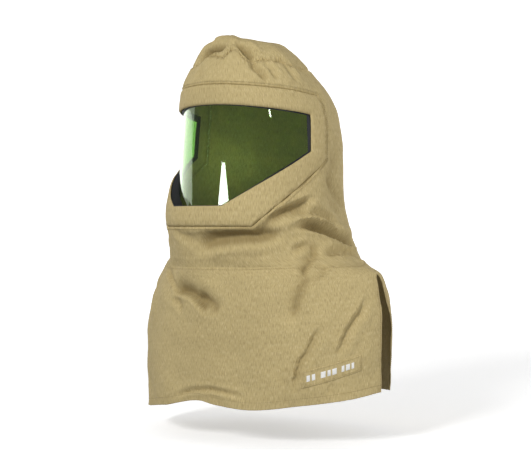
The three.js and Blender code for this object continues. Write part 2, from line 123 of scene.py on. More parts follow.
# How far the hem hangs above its lowest point round the hood: degrees, and a share of the bib's drop.
HEM_RISES = [
    (-90, 0.0),
    (-60, 0.023),
    (-25, 0.088),
    (-4, 0.145),
    (10, 0.126),
    (25, 0.11),
    (45, 0.141),
    (65, 0.172),
    (90, 0.202),
    (130, 0.164),
    (180, 0.1),
    (230, 0.03),
]

# Folds that the photograph shows: the path in its pixels, how wide the valley is to the right and to the
# left of the path and how deep it is, in millimetres, and how much of the depth stands up as a lip beside
# it. A depth above zero is a ridge.
SEEN_FOLDS = [
    ("under_facing", [(194, 249), (213, 243), (238, 239), (262, 237), (287, 231)], (9, 17), -18.0, 0.12),
    ("under_facing_left", [(171, 226), (184, 236), (198, 243)], (8, 9), -4.0, 0.2),
    ("cheek_upper", [(260, 222), (276, 214), (292, 207), (312, 200)], (10, 5), -14.0, 0.35),
    ("cheek_lower", [(292, 226), (312, 227), (330, 234), (346, 241), (358, 245)], (5, 10), -18.0, 0.3),
    ("cheek_branch", [(288, 217), (308, 213), (326, 218), (342, 229)], (4, 7), -10.0, 0.35),
    ("nape", [(337, 140), (330, 190), (345, 215)], (20, 20), -5.0, 0.1),
    ("nape_crease", [(326, 170), (332, 186), (342, 204), (346, 216)], (7, 9), -4.0, 0.3),
    ("collar_left", [(321, 251), (306, 246), (290, 252)], (5, 8), -6.0, 0.3),
    ("collar_down", [(322, 251), (309, 261), (301, 276)], (9, 5), -8.0, 0.3),
    ("collar_right", [(322, 255), (338, 253), (352, 255)], (4, 7), -7.0, 0.35),
    ("collar_nick", [(338, 247), (349, 251), (360, 257)], (6, 7), -5.0, 0.3),
    ("collar_mark", [(324, 262), (322, 272), (314, 284)], (7, 6), -4.0, 0.3),
    ("shoulder_sweep", [(313, 268), (303, 284), (297, 302), (292, 324)], (10, 9), -8.0, 0.25),
    ("arm_crease", [(368, 296), (360, 311), (350, 326), (343, 340), (337, 360)], (3, 8), -5.0, 0.35),
    ("chest_crease", [(322, 322), (314, 338), (300, 363), (295, 380), (292, 395)], (3, 8), -5.5, 0.35),
    ("chest_hollow", [(172, 291), (186, 293), (198, 302), (207, 316)], (4, 15), -14.0, 0.12),
    ("chest_hollow_foot", [(196, 297), (210, 303), (218, 316)], (8, 12), -8.0, 0.1),
    ("chest_pinch", [(168, 268), (171, 279), (177, 292)], (4, 5), -5.0, 0.3),
    ("chest_below", [(172, 297), (178, 304), (183, 312)], (6, 8), -5.0, 0.15),
    ("hem_roll", [(172, 397), (190, 391), (208, 390), (226, 393), (248, 400)], (3, 4), -3.6, 0.4),
    ("hem_tuck", [(325, 372), (328, 384), (331, 396)], (3, 4), -2.0, 0.3),
    ("crown_rim", [(211, 42), (217, 39.5), (224, 39), (234, 42)], (10, 12), 7.0, 0.0),
    ("crown_tuck", [(196, 62), (203, 53), (210, 47.5), (218, 45), (229, 45.5)], (8, 9), -18.0, 0.0),
    ("crown_crease", [(236, 42), (243, 48), (249, 54), (255, 60)], (5, 9), -13.0, 0.3),
    ("crown_bump", [(221, 61), (227, 56), (233, 53), (240, 56)], (8, 8), 4.0, 0.0),
    ("crown_wrinkle", [(248, 60), (257, 69), (268, 81)], (5, 7), -8.0, 0.35),
    ("crown_wrinkle_mid", [(263, 62), (270, 70), (278, 80)], (4, 6), -5.0, 0.35),
    ("crown_wrinkle_far", [(272, 56), (285, 66), (298, 84)], (5, 7), -4.5, 0.3),
    ("brow_slack", [(200, 66), (198, 76), (190, 84)], (8, 8), -3.0, 0.3),
]
# Folds that the photograph hides, by degrees and level: 0 to 1 is the head and 1 to 2 the bib.
HIDDEN_FOLDS = [
    ("back_drape_left", [(150, 1.05), (146, 1.5), (144, 1.98)], (20, 26), -7.0, 0.3),
    ("back_drape_middle", [(184, 0.98), (182, 1.4), (183, 1.98)], (18, 22), -6.0, 0.3),
    ("back_drape_right", [(212, 1.05), (215, 1.5), (217, 1.98)], (20, 26), -7.0, 0.3),
    ("nape_roll", [(128, 0.9), (160, 0.95), (200, 0.955), (236, 0.91)], (8, 14), -5.0, 0.4),
    ("nape_roll_low", [(140, 1.02), (165, 1.05), (196, 1.04), (226, 1.0)], (8, 12), -4.0, 0.4),
    ("cheek_far", [(-38, 0.9), (-58, 0.84), (-76, 0.78)], (6, 10), -4.0, 0.4),
    ("jaw_far", [(-58, 0.92), (-86, 0.93), (-124, 0.93)], (7, 12), -6.0, 0.4),
    ("shoulder_far", [(-72, 1.08), (-55, 1.25), (-50, 1.45)], (8, 12), -4.0, 0.3),
    ("crown_back", [(150, 0.05), (165, 0.13), (172, 0.22)], (6, 9), -3.0, 0.3),
    ("crown_back_far", [(205, 0.06), (198, 0.14), (196, 0.24)], (6, 9), -2.5, 0.3),
]

# Where the crown seam runs: degrees and level.
CROWN_SEAM = [
    (-180, 0.122),
    (-120, 0.122),
    (-70, 0.12),
    (-45, 0.118),
    (-26, 0.112),
    (-18, 0.09),
    (-8, 0.0785),
    (3, 0.0787),
    (12, 0.091),
    (18, 0.092),
    (24, 0.066),
    (31, 0.068),
    (38, 0.105),
    (47, 0.112),
    (60, 0.101),
    (68, 0.108),
    (76, 0.107),
    (86, 0.126),
    (100, 0.126),
    (140, 0.122),
]

# The gasket's section as (across, through) shares: from its inner edge to its outer, and from the cloth to
# the shield. The first corner comes again at the end.
GASKET_SECTION = [
    (0.0, 0.0),
    (0.03, 0.12),
    (0.0, 0.3),
    (0.0, 0.7),
    (0.0, 1.0),
    (0.5, 1.0),
    (1.0, 1.0),
    (1.0, 0.0),
    (0.5, 0.0),
    (0.08, 0.0),
    (0.0, 0.0),
]

# The ripples of the cloth: wavelength in metres, height in millimetres and number of waves.
RIPPLES = [
    (0.12, 2.0, 9),
    (0.055, 1.1, 12),
    (0.026, 0.5, 14),
    (0.012, 0.17, 16),
]

# The white bars' widths as shares of the label's. A zero is the space between two groups.
BAR_WIDTHS = (0.05, 0.05, 0.0, 0.075, 0.05, 0.075, 0.0, 0.05, 0.075, 0.05)
BAR_START = 0.07
BAR_GAP = 0.028
GROUP_GAP = 0.03
BAR_LOW, BAR_HIGH = 0.32, 0.68

# Bright cards round the hood that its shield mirrors: where the photograph shows each one's corners, in
# pixels, and how bright it is.
REFLECTIONS = [
    ("tall_card", [(222, 163), (225, 163), (229, 206), (218, 206)], 26.0),
    ("edge_card", [(184, 118), (192, 116), (192, 207), (178, 207)], 2.6),
    ("small_card", [(268.5, 109), (270.0, 109), (271.5, 117), (270.0, 117)], 22.0),
]


class HoodSizes(PropertyGroup):
    """The cloth's own sizes, as worn."""

    head_drop: FloatProperty(
        name="Head drop", description="Crown to neck seam", default=0.352, unit="LENGTH"
    )
    head_width: FloatProperty(
        name="Head width", description="Across the ears", default=0.264, unit="LENGTH"
    )
    head_depth: FloatProperty(name="Head depth", description="Brow to back", default=0.32, unit="LENGTH")
    bib_drop: FloatProperty(name="Bib drop", description="Neck seam to hem", default=0.262, unit="LENGTH")
    bib_width: FloatProperty(name="Bib width", description="Across the hem", default=0.46, unit="LENGTH")
    bib_depth: FloatProperty(name="Bib depth", description="Chest to back", default=0.334, unit="LENGTH")
    set_back: FloatProperty(
        name="Bib set back",
        description="How far the shoulders lie behind the head",
        default=0.02,
        unit="LENGTH",
    )
    wall: FloatProperty(
        name="Cloth", description="Thickness of the layered cloth", default=0.0025, unit="LENGTH"
    )
    seam_dip: FloatProperty(
        name="Neck seam dip",
        description="How much lower the neck seam is in front",
        default=0.016,
        unit="LENGTH",
    )
    grid: FloatProperty(
        name="Cloth grid", description="Spacing of the cloth's mesh", default=0.0026, unit="LENGTH"
    )
    edge_round: FloatProperty(
        name="Edge rounding", description="Radius of a turned edge", default=0.0013, unit="LENGTH"
    )


class WindowSizes(PropertyGroup):
    """The window in the cloth and the shield behind it."""

    top: FloatProperty(
        name="Top", description="Crown to the window's top edge", default=0.11, unit="LENGTH"
    )
    top_drop: FloatProperty(
        name="Top drop", description="How much lower it is at its ends", default=0.013, unit="LENGTH"
    )
    height: FloatProperty(name="Height", description="Top edge to sill", default=0.159, unit="LENGTH")
    side_height: FloatProperty(
        name="Side height", description="Height of its upright ends", default=0.059, unit="LENGTH"
    )
    reach: FloatProperty(name="Reach", description="Turn from straight ahead to its ends", default=80.0)
    sill: FloatProperty(
        name="Sill", description="Turn from straight ahead to the sill's ends", default=22.0
    )
    facing: FloatProperty(name="Facing", description="Width of the sewn band", default=0.033, unit="LENGTH")
    inset_top: FloatProperty(
        name="Inset at the brow", description="Cloth to shield", default=0.006, unit="LENGTH"
    )
    inset_bottom: FloatProperty(
        name="Inset at the sill", description="Cloth to shield", default=0.018, unit="LENGTH"
    )
    shield: FloatProperty(
        name="Shield", description="Thickness of the shield", default=0.002, unit="LENGTH"
    )
    overlap: FloatProperty(
        name="Overlap", description="Shield behind the facing", default=0.009, unit="LENGTH"
    )
    lip: FloatProperty(
        name="Gasket lip", description="Gasket past the cloth's edge", default=0.0009, unit="LENGTH"
    )


class SewingSizes(PropertyGroup):
    """Stitches and the label."""

    pitch: FloatProperty(
        name="Stitch pitch", description="From stitch to stitch", default=0.0034, unit="LENGTH"
    )
    length: FloatProperty(
        name="Stitch length", description="What shows of a stitch", default=0.0026, unit="LENGTH"
    )
    thread: FloatProperty(name="Thread", description="Radius of the thread", default=0.0004, unit="LENGTH")
    inset: FloatProperty(
        name="Stitch inset", description="Edge to the row of stitches", default=0.006, unit="LENGTH"
    )
    label_width: FloatProperty(
        name="Label width", description="Along the hem", default=0.095, unit="LENGTH"
    )
    label_height: FloatProperty(
        name="Label height", description="Up the cloth", default=0.027, unit="LENGTH"
    )
    label_turn: FloatProperty(name="Label turn", description="Turn to the label's middle", default=59.0)
    label_slope: FloatProperty(name="Label slope", description="Its slope in degrees", default=9.0)
    label_above: FloatProperty(
        name="Label above hem", description="Hem to its middle", default=0.048, unit="LENGTH"
    )


class HoodColours(PropertyGroup):
    """The finishes' base colours, in linear light."""

    cloth: FloatVectorProperty(
        name="Cloth", description="Tan", subtype="COLOR", default=(0.455, 0.36, 0.169)
    )
    cloth_light: FloatVectorProperty(
        name="Light yarn", description="Slubs", subtype="COLOR", default=(0.63, 0.525, 0.297)
    )
    cloth_dark: FloatVectorProperty(
        name="Dark yarn", description="Slubs", subtype="COLOR", default=(0.25, 0.184, 0.077)
    )
    # Painted shade: the colour that the cloth is darkened towards deep in its folds.
    painted_fold_shade: FloatVectorProperty(
        name="Fold shade", description="Deep in folds", subtype="COLOR", default=(0.19, 0.135, 0.05)
    )
    shield: FloatVectorProperty(
        name="Shield", description="Green", subtype="COLOR", default=(0.35, 0.6, 0.24)
    )
    gasket: FloatVectorProperty(
        name="Gasket", description="Black", subtype="COLOR", default=(0.012, 0.013, 0.015)
    )
    stage: FloatVectorProperty(name="Stage", description="Pale", subtype="COLOR", default=(0.9, 0.9, 0.9))


class ViewSizes(PropertyGroup):
    """The camera's place, and the photograph's frame."""

    azimuth: FloatProperty(
        name="Azimuth", description="Turn of the camera to the wearer's left", default=38.0
    )
    distance: FloatProperty(
        name="Distance", description="Camera to the head's axis", default=2.2, unit="LENGTH"
    )
    level: FloatProperty(name="Level", description="Height of the camera", default=-0.2965, unit="LENGTH")
    pixel: FloatProperty(
        name="Pixel", description="Size of a pixel at the axis", default=0.00166, unit="LENGTH"
    )
    axis_x: FloatProperty(name="Axis", description="Pixel column of the head's axis", default=259.0)
    width: IntProperty(name="Frame width", description="Pixels", default=531)
    height: IntProperty(name="Frame height", description="Pixels", default=450)


def group(name):
    """One of the scene's property groups."""
    return getattr(bpy.context.scene, name)


def smooth(x):
    x = np.clip(x, 0.0, 1.0)
    return x * x * (3 - 2 * x)


def curve_through(before, start, end, after, x):
    """A smooth curve from start to end that heads along its neighbours."""
    slope_start, slope_end = (end - before) / 2, (after - start) / 2
    return (
        (2 * x**3 - 3 * x**2 + 1) * start
        + (x**3 - 2 * x**2 + x) * slope_start
        + (3 * x**2 - 2 * x**3) * end
        + (x**3 - x**2) * slope_end
    )


def around_table(table, turn):
    """The smooth value of a table of (degrees, value) rows that closes on itself."""
    degrees = np.array([row[0] for row in table], float)
    values = np.array([row[1] for row in table], float)
    turn = np.mod(turn - degrees[0], 360.0)
    starts = degrees - degrees[0]
    k = np.searchsorted(starts, turn, side="right") - 1
    ends = np.append(starts[1:], 360.0)
    count = len(table)
    x = (turn - starts[k]) / (ends[k] - starts[k])
    return curve_through(values[k - 1], values[k], values[(k + 1) % count], values[(k + 2) % count], x)


def unit(v):
    return v / np.maximum(np.linalg.norm(v, axis=-1, keepdims=True), 1e-12)


def from_ahead(turn):
    """A turn in degrees as -180 to 180 from straight ahead."""
    return (turn + 180) % 360 - 180


def run_along(points):
    """How far each point lies from the first along a path."""
    return np.append(0, np.cumsum(np.linalg.norm(np.diff(points, axis=0), axis=1)))


class PhotoView:
    """The camera's place, and where it sees a point of the object in the photograph's frame."""

    def __init__(self, sizes):
        a = math.radians(sizes.azimuth)
        self.towards = np.array([math.sin(a), -math.cos(a), 0.0])
        self.right = np.array([math.cos(a), math.sin(a), 0.0])
        self.sizes = sizes
        side = (sizes.width / 2 - sizes.axis_x) * sizes.pixel
        self.place = self.towards * sizes.distance + self.right * side + np.array([0, 0, sizes.level])

    def pixels(self, points):
        rel = points - self.place
        depth = -(rel @ self.towards)
        scale = self.sizes.distance / depth / self.sizes.pixel
        x = self.sizes.width / 2 + (rel @ self.right) * scale
        y = self.sizes.height / 2 - rel[..., 2] * scale
        return np.stack([x, y], -1)


class ClothForm:
    """The worn cloth's outer side. A point has a turn in degrees from straight ahead, and a level: 0 at the
    crown, 1 at the neck seam and 2 at the hem."""

    def __init__(self):
        s = group("hood_sizes")
        rows = []
        for level, side, front, back, square in HEAD_SECTIONS:
            brow, nape = front * s.head_depth / 2, back * s.head_depth / 2
            rows.append((level, side * s.head_width / 2, brow, nape, square))
        for level, side, front, back, square in BIB_SECTIONS:
            chest, nape = front * s.bib_depth / 2 - s.set_back, back * s.bib_depth / 2 + s.set_back
            rows.append((1 + level, side * s.bib_width / 2, chest, nape, square))
        self.sizes = s
        self.window = group("window_sizes")
        self.table = np.array(rows)
        self.last = len(rows) - 1
        self.fine_knots = np.linspace(0, self.last, 6001)
        self.fine_levels = np.maximum.accumulate(self.column(0, self.fine_knots))
        self.view = PhotoView(group("view_sizes"))
        self.waves = wave_bundles()
        turn, level = np.meshgrid(np.arange(-130, 150, 1.0), np.linspace(0.002, 2.0, 500))
        points, normals = self.plain(turn, level), self.normal(turn, level)
        facing = (normals @ self.view.towards) > 0.02
        self.seen = self.view.pixels(points)[facing], points[facing], normals[facing]
        self.folds = []
        for laid, table in ((self.seen_path, SEEN_FOLDS), (self.hidden_path, HIDDEN_FOLDS)):
            for _, path, width, depth, lip in table:
                points, normals = laid(path)
                fold = {"points": points, "normals": normals, "width": width, "depth": depth, "lip": lip}
                self.folds.append(fold)

    def column(self, c, knot):
        i = np.minimum(np.floor(knot).astype(int), self.last - 1)
        near = [self.table[np.clip(i + k, 0, self.last), c] for k in (-1, 0, 1, 2)]
        return curve_through(*near, knot - i)

    def drop(self, level):
        s = self.sizes
        return np.where(level <= 1, level * s.head_drop, s.head_drop + (level - 1) * s.bib_drop)

    def level(self, drop):
        s = self.sizes
        return np.where(drop <= s.head_drop, drop / s.head_drop, 1 + (drop - s.head_drop) / s.bib_drop)

    def hem_lift(self, turn, level):
        rise = self.sizes.bib_drop * around_table(HEM_RISES, turn)
        return rise * (0.35 * smooth((level - 1) / 0.2) + 0.65 * smooth(level - 1))

    def plain(self, turn, level):
        """The unfolded cloth."""
        knot = np.interp(level, self.fine_levels, self.fine_knots)
        side, front, back, square = (self.column(c, knot) for c in (1, 2, 3, 4))
        a = np.radians(turn)
        sine = np.sign(np.sin(a)) * np.abs(np.sin(a)) ** (2 / square)
        cosine = np.sign(np.cos(a)) * np.abs(np.cos(a)) ** (2 / square)
        z = self.sizes.wall - self.drop(level) + self.hem_lift(turn, level)
        return np.stack([side * sine, (back - front) / 2 - (back + front) / 2 * cosine, z], -1)

    def normal(self, turn, level):
        low, high = np.maximum(level - 0.012, 1e-4), np.minimum(level + 0.012, 2.0)
        down = self.plain(turn, high) - self.plain(turn, low)
        around = self.plain(turn + 1, level) - self.plain(turn - 1, level)
        return unit(np.cross(down, around))

    def seen_path(self, path):
        """A path in the photograph's pixels, laid on the cloth that the camera sees."""
        seen, points, normals = self.seen
        steps = [np.argmin(((seen - np.array(p)) ** 2).sum(1)) for p in rounded(path, 5)]
        return points[steps], normals[steps]

    def hidden_path(self, path):
        """A path in degrees and levels, laid on the cloth."""
        turn, level = np.array(rounded(path, 6)).T
        return self.plain(turn, level), self.normal(turn, level)

    def fold_push(self, points):
        """How far the folds push each point of the cloth out."""
        push = np.zeros(len(points))
        for fold in self.folds:
            spots = fold["points"]
            reach = 4.2 * max(fold["width"]) * MM
            near = np.all((points > spots.min(0) - reach) & (points < spots.max(0) + reach), axis=1)
            if near.any():
                push[near] += fold_profile(points[near], fold)
        return push

    def outline(self, margin):
        """The window's corners grown by a margin, as (turn, drop), clockwise from its top's left end."""
        w = self.window
        side_turn = math.degrees(margin / (self.sizes.head_width / 2))
        reach, sill = w.reach + side_turn, w.sill + 1.2 * side_turn
        lowest = w.top + w.height + margin
        side_foot = w.top + w.top_drop + w.side_height + 0.35 * margin
        top = w.top - margin
        return {"reach": reach, "sill": sill, "top": top, "lowest": lowest, "side_foot": side_foot}

    def top_edge(self, turn, margin):
        o = self.outline(margin)
        share = (1 - np.cos(np.radians(turn))) / (1 - math.cos(math.radians(o["reach"])))
        return o["top"] + self.window.top_drop * share

    def bottom_edge(self, turn, margin):
        o = self.outline(margin)
        share = np.clip((np.abs(turn) - o["sill"]) / (o["reach"] - o["sill"]), 0, 1)
        return o["lowest"] + (o["side_foot"] - o["lowest"]) * share

    def outline_ring(self, margin, counts):
        """Points round the window's outline, as (turn, drop): its top, its end on the wearer's left, the
        slope, the sill, the other slope and the other end."""
        o = self.outline(margin)
        top_turns = np.linspace(-o["reach"], o["reach"], counts[0] + 1)[:-1]
        ends = self.top_edge(np.array([o["reach"]]), margin)[0]
        corners = [
            (o["reach"], ends),
            (o["reach"], o["side_foot"]),
            (o["sill"], o["lowest"]),
            (-o["sill"], o["lowest"]),
            (-o["reach"], o["side_foot"]),
            (-o["reach"], ends),
        ]
        pieces = [np.stack([top_turns, self.top_edge(top_turns, margin)], -1)]
        for k, count in enumerate((counts[1], counts[2], counts[3], counts[2], counts[1])):
            pieces.append(np.linspace(corners[k], corners[k + 1], count + 1)[:-1])
        return np.concatenate(pieces)

    def outline_distance(self, turn, drop, margin):
        """How far a place on the cloth is outside the window's outline, in metres. Inside, it is below
        zero."""
        radius = self.sizes.head_width / 2
        ring = self.outline_ring(margin, OUTLINE_COUNTS)
        corners = np.stack([np.radians(ring[:, 0]) * radius, ring[:, 1]], -1)
        turn = from_ahead(turn)
        spots = np.stack([np.radians(turn) * radius, drop], -1)
        best = np.full(len(spots), FAR)
        for a, b in zip(corners, np.roll(corners, -1, axis=0)):
            along = np.clip(((spots - a) @ (b - a)) / ((b - a) @ (b - a)), 0, 1)
            best = np.minimum(best, np.linalg.norm(spots - a - along[:, None] * (b - a), axis=1))
        o = self.outline(margin)
        inside = (
            (np.abs(turn) < o["reach"])
            & (drop > self.top_edge(turn, margin))
            & (drop < self.bottom_edge(turn, margin))
        )
        return np.where(inside, -best, best)

    def surface(self, turn, drop, lift=0.0):
        """The finished cloth at a turn and a drop below the crown, lifted along its normal."""
        turn, drop = np.broadcast_arrays(np.asarray(turn, float), np.asarray(drop, float))
        shape = turn.shape
        turn, drop = turn.ravel(), drop.ravel()
        lift = np.broadcast_to(np.asarray(lift, float), shape).ravel()
        level = self.level(drop)
        points, normals = self.plain(turn, level), self.normal(turn, level)
        outside = self.outline_distance(turn, drop, self.window.facing)
        calm = CALM_SHARE + (1 - CALM_SHARE) * smooth(outside / CALM_REACH)
        push = self.fold_push(points) * calm + ripple(points, self.waves) * (0.35 + 0.65 * calm)
        push += self.seam_pull(turn, drop, outside)
        return (points + normals * (push + lift)[:, None]).reshape(*shape, 3)

    def painted_shade(self, turn, drop):
        """How much painted shade a place gets, from 0 to 1: the more, the deeper in a fold's valley it lies.
        """
        turn, drop = np.broadcast_arrays(np.asarray(turn, float), np.asarray(drop, float))
        push = self.fold_push(self.plain(turn.ravel(), self.level(drop.ravel())))
        return smooth(-push / FULL_SHADE).reshape(turn.shape)

    def seam_pull(self, turn, drop, outside):
        """How far the seams pull the cloth in, with the puckers that they gather beside them."""
        s = self.sizes
        along = np.radians(from_ahead(turn)) * s.head_width / 2
        seams = (
            (drop - self.drop(crown_seam(turn)), along, 1.5),
            (drop - self.drop(neck_seam(turn, s)), along * 1.3, 0.3),
            (outside, along + 0.8 * drop, 1.0),
        )
        pull = np.zeros(len(turn))
        for distance, run, strength in seams:
            wave = np.sin(run / 0.0015 + 1.6 * np.sin(run / 0.0068))
            near, wide = np.exp(-((distance / 0.0024) ** 2)), np.exp(-((distance / 0.009) ** 2))
            pull -= strength * (0.0013 * near + 0.0008 * wide * (1 + wave))
        return pull


def rounded(path, parts):
    """A path through the given points, with more points on a smooth curve between them."""
    p = np.array(path, float)
    p = np.concatenate([[2 * p[0] - p[1]], p, [2 * p[-1] - p[-2]]])
    way = []
    for k in range(1, len(p) - 2):
        for x in np.arange(parts) / parts:
            way.append(curve_through(p[k - 1], p[k], p[k + 1], p[k + 2], x))
    return way + [p[-2]]


def fold_profile(points, fold):
    """The height that one fold adds at each point: a valley or ridge whose two sides can differ in width."""
    spots, normals = fold["points"], fold["normals"]
    lengths = np.linalg.norm(np.diff(spots, axis=0), axis=1)
    whole = lengths.sum()
    best = np.full(len(points), FAR)
    share = np.zeros(len(points))
    side = np.zeros(len(points))
    gone = 0.0
    for a, b, n, length in zip(spots[:-1], spots[1:], normals[:-1], lengths):
        if length < 1e-6:
            continue
        rel = points - a
        along = np.clip(rel @ (b - a) / length**2, 0, 1)
        off = rel - along[:, None] * (b - a)
        distance = np.linalg.norm(off, axis=1)
        nearer = distance < best
        best = np.where(nearer, distance, best)
        share = np.where(nearer, (gone + along * length) / whole, share)
        side = np.where(nearer, off @ np.cross(n, b - a), side)
        gone += length
    first, second = (w * MM for w in fold["width"])
    width = first + (second - first) * smooth(side / 4e-5 + 0.5)
    taper = smooth(share / 0.3 + 0.1) * smooth((1 - share) / 0.3 + 0.1)
    depth = fold["depth"] * MM
    x = best / width
    return taper * depth * (np.exp(-(x**1.6)) - fold["lip"] * np.exp(-((x - 2.0) ** 2) / 0.7))


def wave_bundles():
    """Low ripples of the cloth: for each size, the directions, phases and height of its waves."""
    rng = np.random.default_rng(11)
    bundles = []
    for wavelength, height, count in RIPPLES:
        directions = unit(rng.normal(size=(count, 3)) * np.array([1.0, 1.0, 0.75]))
        lengths = wavelength * rng.uniform(0.75, 1.35, size=count)
        turns = directions * (2 * math.pi / lengths)[:, None]
        bundles.append((turns, rng.uniform(0, 6.283, count), height * MM))
    return bundles


def ripple(points, bundles):
    total = np.zeros(len(points))
    for turns, phases, height in bundles:
        total += height * np.sin(points @ turns.T + phases).sum(1) / math.sqrt(len(phases)) / 1.4
    return total


def grid_object(name, points, uv, painted_shade=None):
    """A grid primitive with a row and column for each given point, laid on those points. Rows run down and
    columns round the hood, so its faces point out. The painted_shade values say how much painted shade each
    point gets, by how deep in a fold it lies."""
    rows, columns = points.shape[:2]
    bpy.ops.object.select_all(action="DESELECT")
    bpy.ops.mesh.primitive_grid_add(x_subdivisions=columns - 1, y_subdivisions=rows - 1, size=1.0)
    piece = bpy.context.object
    piece.name = piece.data.name = name
    mesh = piece.data
    flat = np.empty(len(mesh.vertices) * 3)
    mesh.vertices.foreach_get("co", flat)
    flat = flat.reshape(-1, 3)
    column = np.rint((flat[:, 0] + 0.5) * (columns - 1)).astype(int)
    row = np.rint((0.5 - flat[:, 1]) * (rows - 1)).astype(int)
    mesh.vertices.foreach_set("co", points[row, column].ravel())
    corner = np.empty(len(mesh.loops), int)
    mesh.loops.foreach_get("vertex_index", corner)
    mesh.uv_layers.active.data.foreach_set("uv", uv[row, column][corner].ravel())
    mesh.uv_layers.active.name = "cut"
    if painted_shade is not None:
        shade = mesh.attributes.new("painted_shade", "FLOAT", "POINT")
        shade.data.foreach_set("value", painted_shade[row, column])
    mesh.update()
    return piece


def select_only(*pieces):
    """Selects these pieces and nothing else, with the first one active."""
    bpy.ops.object.select_all(action="DESELECT")
    for piece in pieces:
        piece.select_set(True)
    bpy.context.view_layer.objects.active = pieces[0]


def joined(name, pieces):
    """Pieces of one cloth as one mesh, with the points that they share merged."""
    select_only(*pieces)
    if len(pieces) > 1:
        bpy.ops.object.join()
    whole = bpy.context.object
    whole.name = whole.data.name = name
    bpy.ops.object.mode_set(mode="EDIT")
    bpy.ops.mesh.select_all(action="SELECT")
    bpy.ops.mesh.remove_doubles(threshold=2e-6)
    bpy.ops.object.mode_set(mode="OBJECT")
    return whole


def thickened(piece, thickness, angle=50):
    """The sheet with its inner side and rim, shaded smoothly."""
    select_only(piece)
    solidify = piece.modifiers.new("wall", "SOLIDIFY")
    solidify.thickness = thickness
    solidify.offset = -1
    bpy.ops.object.modifier_apply(modifier=solidify.name)
    bpy.ops.object.shade_smooth_by_angle(angle=math.radians(angle))
    return piece


def placed(piece, material, slot, *nodes):
    """Gives a finished piece its material and its body, and hides the CAD nodes that it stands for."""
    piece.data.materials.clear()
    piece.data.materials.append(material)
    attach(piece, "root")
    if nodes:
        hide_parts(*nodes)
    return piece


def spread(length, step, start_edge, end_edge):
    """Shares from 0 to 1 along a length, close together next to a rounded edge."""
    close = np.array([0.0, 0.35, 0.8, 1.4, 2.2]) * MM
    first = close if start_edge else np.array([0.0])
    final = length - (close if end_edge else np.array([0.0]))[::-1]
    count = max(int((final[0] - first[-1]) / step), 2)
    middle = np.linspace(first[-1], final[0], count + 1)[1:-1]
    return np.concatenate([first, middle, final]) / length


def edge_inset(distance, radius):
    """How far a turned edge curls in, by the distance to it."""
    x = np.clip(radius - distance, 0, radius)
    return -(radius - np.sqrt(np.maximum(radius**2 - x**2, 0)))


def cut_map(turn, drop):
    """Where a place lies on the flat cloth, in metres."""
    return np.stack([np.radians(turn) * CUT_RADIUS, -drop], -1)


def crown_seam(turn):
    return around_table(CROWN_SEAM, turn)


def neck_seam(turn, sizes):
    return 1 + (sizes.seam_dip / sizes.bib_drop) * (1 + np.cos(np.radians(turn))) / 2


def slit_line(z, is_front, sizes):
    """Where in Y the bib's side edge hangs at a height. Above the slit, both panels meet at the shoulder."""
    top = -(sizes.head_drop + 0.02)
    foot = -(sizes.head_drop + sizes.bib_drop) * 1.1
    front, seam, back_top, back_foot = 0.02, 0.027, 0.034, 0.128
    opening = 0.007
    below = np.clip((top - z) / opening, 0, 1)
    if is_front:
        return seam + (front - seam) * below
    slant = np.clip((top - opening - z) / (top - opening - foot), 0, 1)
    return seam + (back_top - seam) * below + (back_foot - back_top) * slant


def cloth_material():
    """Tan cloth with a slub: light and dark yarns that run down it, a plain weave and a soft nap, and
    painted shade that darkens it deep in its folds.
    """
    c = group("hood_colours")
    material, nodes, link, shader = new_material("tan_cloth")
    uv = nodes.new("ShaderNodeUVMap")
    uv.uv_map = "cut"
    yarns = [(1500, 130, 0.5), (800, 100, 0.8), (160, 1100, 0.5)]
    streaks = [stretched_noise(nodes, link, uv.outputs[0], *yarn) for yarn in yarns]
    colour = mix_colour(nodes, link, ramp(nodes, link, streaks[0], 0.42, 0.75), c.cloth, c.cloth_light, 0.7)
    darker = ramp(nodes, link, streaks[1], 0.48, 0.76)
    colour = mix_colour(nodes, link, darker, colour, c.cloth_dark, 0.5)
    filling = ramp(nodes, link, streaks[2], 0.5, 0.8)
    colour = mix_colour(nodes, link, filling, colour, c.cloth_light, 0.25)
    place = nodes.new("ShaderNodeTexCoord")
    cloud = stretched_noise(nodes, link, place.outputs["Object"], 9, 9, 2.0)
    colour = mix_colour(nodes, link, ramp(nodes, link, cloud, 0.3, 0.8), colour, c.cloth_dark, 0.12)
    # Painted shade: deep in the folds' valleys, the colour is darkened towards the fold shade colour.
    painted_shade = nodes.new("ShaderNodeAttribute")
    painted_shade.attribute_name = "painted_shade"
    colour = mix_colour(nodes, link, painted_shade.outputs["Fac"], colour, c.painted_fold_shade, 0.6)
    link(colour, shader.inputs["Base Color"])
    shader.inputs["Roughness"].default_value = 0.88
    shader.inputs["Specular IOR Level"].default_value = 0.25
    weave_height = weave(nodes, link, uv.outputs[0], 0.00085)
    crumple = stretched_noise(nodes, link, place.outputs["Object"], 42, 42, 4.0)
    layers = [(crumple, 0.0022), (weave_height, 0.00004), (streaks[0], 0.00012), (streaks[2], 0.00008)]
    bump_from(nodes, link, shader, layers)
    return material


def new_material(name):
    material = bpy.data.materials.new(name)
    material.use_nodes = True
    nodes = material.node_tree.nodes
    return material, nodes, material.node_tree.links.new, nodes["Principled BSDF"]


def stretched_noise(nodes, link, source, across, down, detail):
    """Noise whose grain is finer across than down."""
    mapping = nodes.new("ShaderNodeMapping")
    mapping.inputs["Scale"].default_value = (across, down, (across + down) / 2)
    noise = nodes.new("ShaderNodeTexNoise")
    noise.inputs["Scale"].default_value = 1.0
    noise.inputs["Detail"].default_value = detail
    link(source, mapping.inputs["Vector"])
    link(mapping.outputs[0], noise.inputs["Vector"])
    return noise.outputs["Fac"]


def ramp(nodes, link, source, low, high):
    span = nodes.new("ShaderNodeMapRange")
    span.interpolation_type = "SMOOTHSTEP"
    span.inputs["From Min"].default_value = low
    span.inputs["From Max"].default_value = high
    link(source, span.inputs["Value"])
    return span.outputs["Result"]


